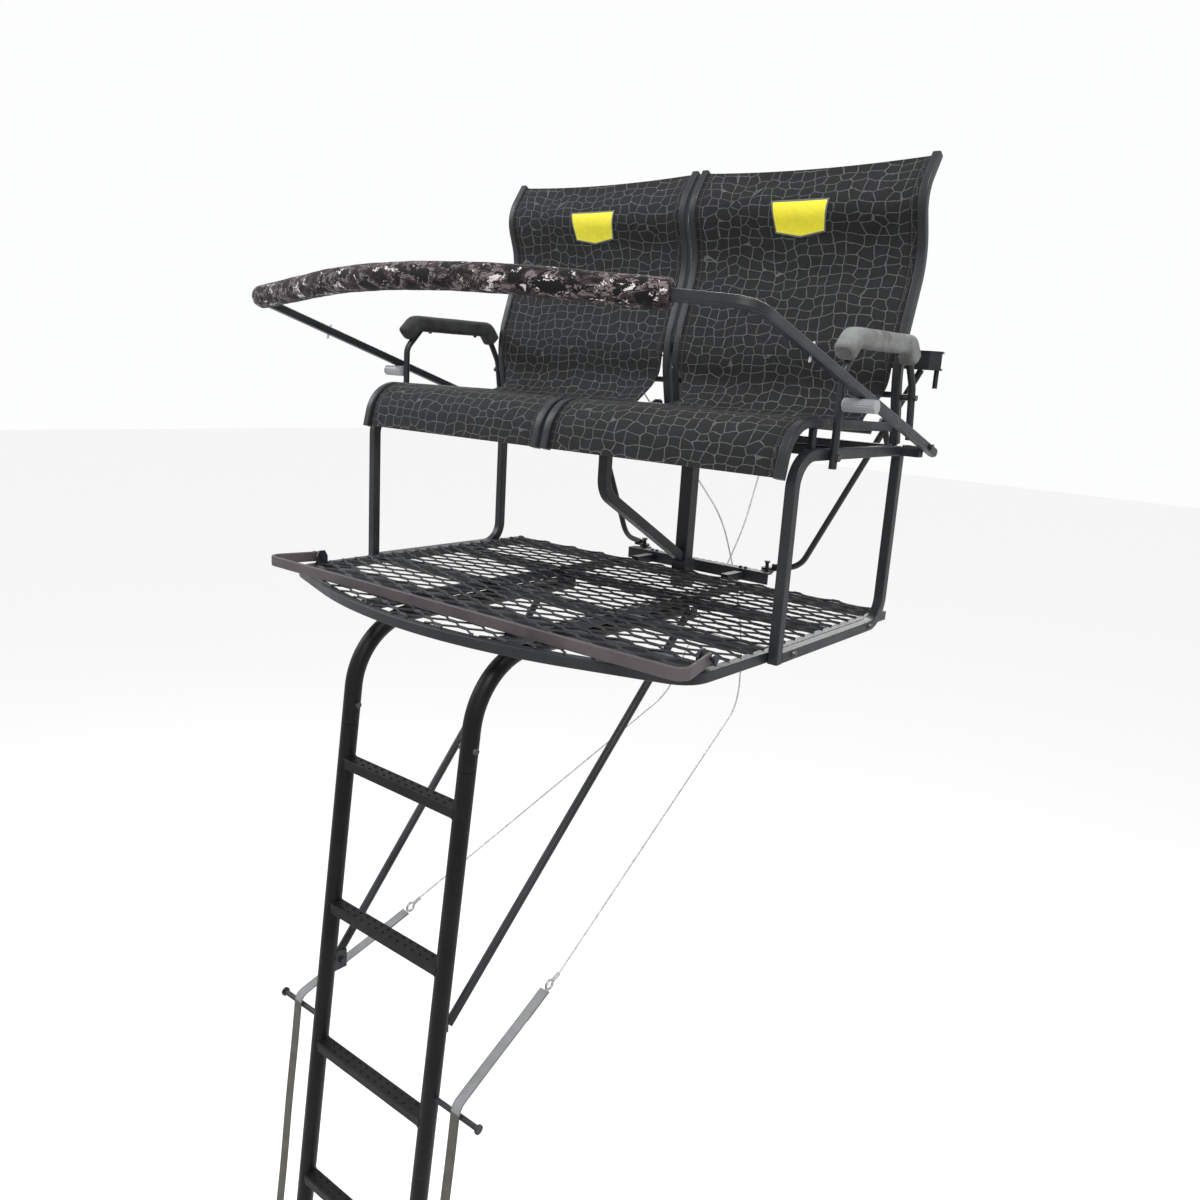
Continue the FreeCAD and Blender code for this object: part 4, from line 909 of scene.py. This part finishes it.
@dataclass
class ExpandedDeck:
    """Expanded metal: strands tilted about their length run between short horizontal bonds.

    Bonds lie on a staggered lattice with steps of long/2 along X and short/2 along Y.
    """

    long: float = 106.8
    short: float = 42.0
    bond: float = 9.0
    rear: float = -125.0
    base: float = -8.0
    half: float = 594.0
    corner: Tuple[float, float] = (587.0, -922.0)
    apex: float = -1132.0
    bow_radius: float = 1150.0
    strand: Tuple[float, float] = (4.4, 1.7)
    tilt: float = 38.0

    def outline(self) -> np.ndarray:
        """Returns: the convex edge of the sheet, anticlockwise, in millimetres."""
        x, y = self.corner
        slope = (y - self.apex) / x
        crown = self.apex + self.bow_radius * (math.hypot(1, slope) - 1)
        reach = self.bow_radius * slope / math.hypot(1, slope)
        step = np.linspace(-reach, reach, 9)
        bow = np.stack([step, crown + self.bow_radius - np.sqrt(self.bow_radius ** 2 - step ** 2)], 1)
        left = np.array([(-self.half, self.rear), (-self.half, -640), (-x, y + 20), (-x + 32, y - 8)])
        right = left[::-1] * [-1, 1]
        return np.concatenate([left, bow, right])

    def clipped(self, a: np.ndarray, b: np.ndarray) -> Tuple[np.ndarray, np.ndarray, np.ndarray]:
        """Cuts segments to the outline.

        Args:
            a: (n, 2) starts.
            b: (n, 2) ends.

        Returns: new starts, new ends and which of them still have a length.
        """
        edge = self.outline()
        low, high = np.zeros(len(a)), np.ones(len(a))
        for p, q in zip(edge, np.roll(edge, -1, 0)):
            inward = np.array([-(q - p)[1], (q - p)[0]])
            start, rise = (a - p) @ inward, (b - a) @ inward
            crossing = np.where(np.abs(rise) > 1e-9, -start / np.where(np.abs(rise) > 1e-9, rise, 1), 0)
            low = np.where(rise > 1e-9, np.maximum(low, crossing), low)
            high = np.where(rise < -1e-9, np.minimum(high, crossing), high)
            high = np.where((np.abs(rise) <= 1e-9) & (start < 0), -1, high)
        d = b - a
        return a + d * low[:, None], a + d * high[:, None], (high - low) * np.linalg.norm(d, axis=1) > 1.0

    def segments(self) -> Tuple[np.ndarray, np.ndarray, np.ndarray]:
        """Returns: starts, ends and widths of every strand and bond, in millimetres."""
        rows = np.arange(-1, 52)
        cols = np.arange(-8, 9)
        j, i = np.meshgrid(rows, cols, indexing="ij")
        x = i * self.long + np.where(j % 2 == 0, self.long / 2, 0.0)
        y = self.rear - j * self.short / 2
        spots = np.stack([x.ravel(), y.ravel()], 1)
        bond_a, bond_b = spots - [self.bond, 0], spots + [self.bond, 0]
        rise = self.short / 2
        run = self.long / 2 - self.bond
        out_a = np.concatenate([spots + [self.bond, 0]] * 2)
        out_b = np.concatenate([spots + [run, rise], spots + [run, -rise]])
        a, b = np.concatenate([bond_a, out_a]), np.concatenate([bond_b, out_b])
        wide = np.concatenate([np.full(len(spots), 1.55), np.full(len(out_a), 1.0)])
        a, b, kept = self.clipped(a, b)
        return a[kept], b[kept], wide[kept]

    def build(self, finishes: Finishes) -> None:
        """Args:
        finishes: the materials.
        """
        a, b, wide = self.segments()
        direction = unit(b - a)
        a, b = a - direction * 0.8, b + direction * 0.8
        lean = math.radians(self.tilt)
        across = np.stack([-direction[:, 1], direction[:, 0]], 1) * np.sign(direction[:, :1] + 1e-9)
        wide_dir = np.c_[across * math.cos(lean), np.full(len(a), math.sin(lean))]
        thin_dir = np.c_[-across * math.sin(lean), np.full(len(a), math.cos(lean))]
        w, h = self.strand
        z = self.base + (w * math.sin(lean) + h * math.cos(lean)) / 2
        corners = []
        for end in (a, b):
            middle = np.c_[end, np.full(len(end), z)]
            for u, v in ((-1, -1), (1, -1), (1, 1), (-1, 1)):
                corners.append(middle + wide_dir * (u * w / 2 * wide[:, None]) + thin_dir * (v * h / 2))
        points = np.stack(corners, 1).reshape(-1, 3) * MM
        box = np.array([[0, 1, 2, 3], [7, 6, 5, 4], [0, 4, 5, 1], [1, 5, 6, 2], [2, 6, 7, 3], [3, 7, 4, 0]])
        faces = (np.arange(len(a))[:, None, None] * 8 + box[None]).reshape(-1, 4)
        flat = points[faces][..., :2]
        skin = Skin()
        skin.add(points, faces, flat)
        made = skin.make("expanded_deck", [finishes.mesh], 30)
        fix_normals(made)
        place(made, Body.STAND, "mesh", "deck_mesh")


def fix_normals(made: bpy.types.Object) -> None:
    """Turns every face of an object outwards.

    Args:
        made: the object.
    """
    work = bmesh.new()
    work.from_mesh(made.data)
    bmesh.ops.recalc_face_normals(work, faces=work.faces[:])
    work.to_mesh(made.data)
    work.free()


# ---- ladder ---------------------------------------------------------------------------------------


@dataclass
class Ladder:
    """Places on the leaning ladder, in millimetres."""

    stile_x: float = 185.0
    stile_r: float = 19.0
    lean: float = 0.106
    y350: float = -1088.0
    top: float = -350.0
    pitch: float = 336.0
    rungs: int = 14
    deep: float = 34.0
    tall: float = 24.0

    def y(self, z: float) -> float:
        """Returns: Y of a stile's middle at height z."""
        return self.y350 + self.lean * (z + 350)

    def tops(self) -> Iterable[float]:
        """Returns: height of each rung's top."""
        return (self.top - n * self.pitch for n in range(self.rungs))


@dataclass
class RungTreads:
    """Punched grip on the rungs: two rows of raised rings, each a turned profile."""

    ladder: Ladder
    radius: float = 4.2
    rise: float = 1.3
    columns: int = 13

    def build(self, finishes: Finishes) -> None:
        """Args:
        finishes: the materials.
        """
        turn = np.linspace(0, 2 * np.pi, 14, endpoint=False)
        shape = np.array([(1.0, -0.2), (0.86, 0.85), (0.6, 1.0), (0.45, 0.2), (0.02, 0.15)])
        ring = np.stack([shape[:, :1] * self.radius * np.cos(turn), shape[:, :1] * self.radius * np.sin(turn),
                         np.repeat(shape[:, 1:] * self.rise, len(turn), 1)], -1)
        skin = Skin()
        uv = np.zeros((len(shape), len(turn) + 1, 2))
        for z in self.ladder.tops():
            for row in (-8.0, 8.0):
                y = self.ladder.y(z - self.ladder.tall / 2) + row
                for x in np.linspace(-142, 142, self.columns):
                    skin.grid((ring + [x, y, z]) * MM, uv, True)
        made = skin.make("rung_grips", [finishes.rung], 40)
        place(made, Body.STAND, "tube")


@dataclass
class Welds:
    """Weld beads: lumpy round cords that follow the line where two tubes meet."""

    ladder: Ladder
    bead: float = 1.9

    def loop(self, skin: Skin, path: np.ndarray, up: Sequence[float], seed: int) -> None:
        """Adds one closed bead.

        Args:
            skin: where it goes.
            path: the loop, in millimetres, with no repeated end.
            up: a direction that is never along the loop.
            seed: number that its lumps come from.
        """
        rng = np.random.default_rng(seed)
        grow = 1 + 0.28 * np.sin(np.arange(len(path)) * 2.4) + 0.12 * rng.standard_normal(len(path))
        outline = superellipse(2 * self.bead * MM, 2 * self.bead * MM, 2, 7)
        skin.tube(path * MM, up, outline, grow, closed=True)

    @staticmethod
    def square(side_a: float, side_b: float, corner: float = 2.5, step: float = 2.2) -> np.ndarray:
        """Returns: a rounded rectangle sampled evenly, centred on the origin."""
        ring = superellipse(side_a, side_b, 9.0, 360)
        length = along(np.c_[np.concatenate([ring, ring[:1]]), np.zeros(361)])
        marks = np.linspace(0, length[-1], int(length[-1] / step), endpoint=False)
        closed = np.concatenate([ring, ring[:1]])
        return np.stack([np.interp(marks, length, closed[:, k]) for k in (0, 1)], 1)

    def build(self, finishes: Finishes) -> None:
        """Args:
        finishes: the materials.
        """
        skin = Skin()
        ring = self.square(22.0, 22.0)
        seed = 0
        crossings = [(x, y, -19.0) for y in (-125.0, -378.0, -651.0) for x in (-586.0, 586.0)]
        crossings += [(x, -851.0, -19.0) for x in (-580.0, 580.0)]
        crossings += [(x, y, 379.0) for y in (-466.0, -189.0) for x in (-608.0, 608.0)]
        for x, y, z in crossings:
            seed += 1
            path = np.c_[np.full(len(ring), x), y + ring[:, 0], z + ring[:, 1]]
            self.loop(skin, path, (1, 0, 0), seed)
        for x in (-200.0, 200.0):
            for y in (-136.0, -367.0, -389.0, -640.0, -662.0, -840.0, -862.0):
                seed += 1
                path = np.c_[x + ring[:, 0], np.full(len(ring), y), -19.0 + ring[:, 1]]
                self.loop(skin, path, (0, 1, 0), seed)
        rung = self.square(self.ladder.deep, self.ladder.tall)
        flat = math.cos(math.atan(self.ladder.lean))
        for z in self.ladder.tops():
            low = z - self.ladder.tall / 2
            for side in Side:
                seed += 1
                y, h = self.ladder.y(low) + rung[:, 0], low + rung[:, 1]
                off = (y - (self.ladder.y350 + self.ladder.lean * (h + 350))) * flat
                inside = np.sqrt(np.maximum(self.ladder.stile_r ** 2 - off ** 2, 1.0))
                x = side.value * (self.ladder.stile_x - inside)
                self.loop(skin, np.c_[x, y, h], (1, 0, 0), seed)
        made = skin.make("weld_beads", [finishes.rung], 60)
        fix_normals(made)
        place(made, Body.STAND, "tube")


# ---- cables and straps ------------------------------------------------------------------------------


@dataclass
class WireCable:
    """Wire rope round the trunk: six strands that wind round the route at a fixed lay.

    Strand k is route + a (cos, sin)(2 pi s / lay + 2 pi k / 6) in the moving frame.
    """

    side: Side
    trunk: Tuple[float, float] = (-50.0, 121.0)
    round: float = 124.0
    outer: float = 8.0
    eye: Tuple[float, float, float] = (262.6, -76.0, 540.0)
    radius: float = 2.5
    lay: float = 0.026

    def route(self) -> Tuple[List[np.ndarray], List[float]]:
        """Returns: corners and bend radii of the route, in millimetres."""
        sign = self.side.value
        eye = np.array([sign * self.eye[0], self.eye[1], self.eye[2]])
        end = np.array([-sign * 236.0, -815.5, -823.5])
        cx, cy = self.trunk
        first = math.atan2(cy - eye[1], cx - sign * self.round - eye[0])
        last = math.atan2(end[1] - cy, end[0] - cx + sign * self.round)
        turn = (last - first + math.pi) % (2 * math.pi) - math.pi
        count = 5
        step = turn / count
        r = (self.round + (self.outer if sign > 0 else 0.0)) / math.cos(step / 2)
        points = [eye]
        for k in range(count):
            heading = first + step * (k + 0.5) + (math.pi / 2 if turn < 0 else -math.pi / 2)
            z = 96.0 - 545.0 * k / (count - 1) - (0 if sign < 0 else 22)
            points.append(np.array([cx + r * math.cos(heading), cy + r * math.sin(heading), z]))
        points.append(end)
        radii = []
        for a, b, c in zip(points, points[1:], points[2:]):
            into, out = b - a, c - b
            half = math.acos(float(unit(into) @ unit(out))) / 2
            radii.append(0.45 * min(np.linalg.norm(into), np.linalg.norm(out)) / math.tan(half))
        return points, radii

    def build(self, finishes: Finishes) -> None:
        """Args:
        finishes: the materials.
        """
        points, radii = self.route()
        line = rounded_path(points, radii, 0.0022)
        s = along(line)
        _, side, normal = moving_frame(line, (0.31, 0.11, 0.94))
        strand = self.radius * MM * 0.36
        winding = self.radius * MM - strand
        skin = Skin()
        outline = superellipse(2 * strand, 2 * strand, 2, 6)
        for k in range(6):
            turn = 2 * np.pi * (s / self.lay + k / 6)
            path = line + winding * (np.cos(turn)[:, None] * side + np.sin(turn)[:, None] * normal)
            skin.tube(path, (0.31, 0.11, 0.94), outline)
        made = skin.make(f"wire_rope_{self.side.word}", [finishes.rope], 80)
        place(made, Body.STAND, "cable", f"cable_from_{self.side.word}")


@dataclass
class Straps:
    """Flat webbing from each thimble over its peg and down to the ratchet, and the short tails below."""

    ladder: Ladder
    head: Tuple[float, float, float] = (236.0, -865.0, -844.5)
    peg: Tuple[float, float] = (268.0, -975.0)
    wide: float = 25.0
    thick: float = 1.8
    buckle: float = -3350.0
    strap_end: float = 60.0
    tail_start: float = -32.0
    tail_end: float = -96.0

    def strip(self, skin: Skin, line: np.ndarray, folded: float) -> None:
        """Adds one strap.

        Args:
            skin: where it goes.
            line: its middle line.
            folded: length at its start that is doubled and sewn.
        """
        s = along(line)
        tangent = unit(np.gradient(line, axis=0))
        across = unit(np.cross(tangent, np.cross([1.0, 0, 0], tangent)))
        facing = unit(np.cross(across, tangent))
        t = np.linspace(-1, 1, 7) * self.wide / 2 * MM
        wave = 0.0006 * np.sin(s * 19)[:, None, None] * facing[:, None]
        middle = line[:, None] + across[:, None] * t[None, :, None] + wave
        normal = np.repeat(facing[:, None], len(t), 1)
        uv = np.stack(np.meshgrid(t, s), -1)
        skin.sheet(middle, normal, self.thick * MM, uv)
        keep = s < folded
        if keep.sum() > 3:
            lift = middle[keep] + normal[keep] * self.thick * MM
            skin.sheet(lift, normal[keep], self.thick * MM, uv[keep])

    def build(self, finishes: Finishes) -> None:
        """Args:
        finishes: the materials.
        """
        skin = Skin()
        x, z = self.peg
        low = self.buckle + self.strap_end
        for side in Side:
            sign = side.value
            points = [(sign * self.head[0], self.head[1], self.head[2]),
                      (sign * (x - 1), self.ladder.y(z) - 5.4, z + 21.4),
                      (sign * x, self.ladder.y(low) - 7.4, low)]
            self.strip(skin, rounded_path(points, [26.0], 0.012), 0.09)
            tail_low = self.buckle + self.tail_end
            tail_y = self.ladder.y(self.buckle - 90) - 7.6
            tail = np.array([(sign * x, tail_y, self.buckle + self.tail_start),
                             (sign * x, tail_y, tail_low)]) * MM
            self.strip(skin, line_samples(tail[0], tail[1], 0.008), 0.0)
        made = skin.make("webbing_straps", [finishes.strap], 60)
        fix_normals(made)
        place(made, Body.STAND, "webbing", "strap_webbing")


# ---- studio ---------------------------------------------------------------------------------------------


@dataclass
class Studio:
    """Pale floor, soft lights and the camera."""

    floor_z: float = -4852.0
    eye: Tuple[float, float, float] = (1530.4, -2396.3, 517.6)
    yaw: float = 38.234
    pitch: float = -12.924
    roll: float = -3.569
    lens: float = 30.218
    reach: float = 60.0
    sky: float = 1.0

    def camera(self) -> None:
        """Puts the camera ahead of the stand and to its right, a little above the seats."""
        yaw, pitch, roll = (math.radians(v) for v in (self.yaw, self.pitch, self.roll))
        ahead = np.array([-math.sin(yaw) * math.cos(pitch), math.cos(yaw) * math.cos(pitch), math.sin(pitch)])
        right = np.array([math.cos(yaw), math.sin(yaw), 0.0])
        up = np.cross(right, ahead)
        right, up = right * math.cos(roll) - up * math.sin(roll), up * math.cos(roll) + right * math.sin(roll)
        data = bpy.data.cameras.new("camera")
        data.lens, data.sensor_width = self.lens, 36.0
        data.clip_end = 200.0
        made = bpy.data.objects.new("camera", data)
        turn = Matrix([list(row) for row in np.stack([right, up, -ahead], 1)]).to_4x4()
        made.matrix_world = Matrix.Translation(Vector(self.eye) * MM) @ turn
        bpy.context.scene.collection.objects.link(made)
        bpy.context.scene.camera = made

    def lamp(self, name: str, place_at: Sequence[float], aim: Sequence[float], size: float, power: float,
             colour: Colour) -> None:
        """Adds one soft lamp.

        Args:
            name: its name.
            place_at: where it is.
            aim: what it points at.
            size: width of its square.
            power: watts.
            colour: its colour.
        """
        data = bpy.data.lights.new(name, "AREA")
        data.size, data.energy, data.color = size, power, colour
        made = bpy.data.objects.new(name, data)
        made.location = Vector(place_at)
        made.rotation_euler = (Vector(aim) - Vector(place_at)).to_track_quat("-Z", "Y").to_euler()
        bpy.context.scene.collection.objects.link(made)

    def build(self) -> None:
        """Makes the floor, the lamps, the sky and the camera."""
        mesh = bpy.data.meshes.new("floor")
        reach, z = self.reach, self.floor_z * MM
        mesh.from_pydata([(-reach, -reach, z), (reach, -reach, z), (reach, reach, z), (-reach, reach, z)], [],
                         [(0, 1, 2, 3)])
        floor = bpy.data.objects.new("floor", mesh)
        bpy.context.scene.collection.objects.link(floor)
        s = Shader("pale_floor")
        mesh.materials.append(s.finish((0.93, 0.93, 0.92), 0.95, 0.0, None, Specular_IOR_Level=0.1))
        world = bpy.data.worlds.new("sky")
        bpy.context.scene.world = world
        world.use_nodes = True
        back = world.node_tree.nodes["Background"]
        back.inputs["Color"].default_value = (0.98, 0.985, 0.99, 1)
        back.inputs["Strength"].default_value = self.sky
        self.lamp("key", (3.5, -3.0, 5.0), (0, -0.5, 0.4), 2.5, 380, (1.0, 0.98, 0.95))
        self.lamp("fill", (-4.5, -3.0, 3.5), (0, -0.5, 0.2), 3.0, 200, (0.92, 0.96, 1.0))
        self.lamp("rim", (-1.5, 4.5, 4.0), (0, -0.4, 0.5), 3.0, 320, (1.0, 1.0, 1.0))
        bpy.context.scene.view_settings.view_transform = "Standard"
        self.camera()
        LOG.info("studio ready")


def main() -> None:
    """Builds everything in order."""
    logging.basicConfig(level=logging.INFO, format="%(name)s %(message)s")
    finishes = Finishes()
    finishes.dress_cad()
    ladder = Ladder()
    for side in Side:
        sling = SeatSling(side)
        sling.build(finishes)
        BackPatch(sling).build(finishes)
        ArmPad(side).build(finishes)
        WireCable(side).build(finishes)
    RailCover().build(finishes)
    ExpandedDeck().build(finishes)
    RungTreads(ladder).build(finishes)
    Welds(ladder).build(finishes)
    Straps(ladder).build(finishes)
    Studio().build()
    bpy.context.view_layer.update()


if __name__ == "__main__":
    main()
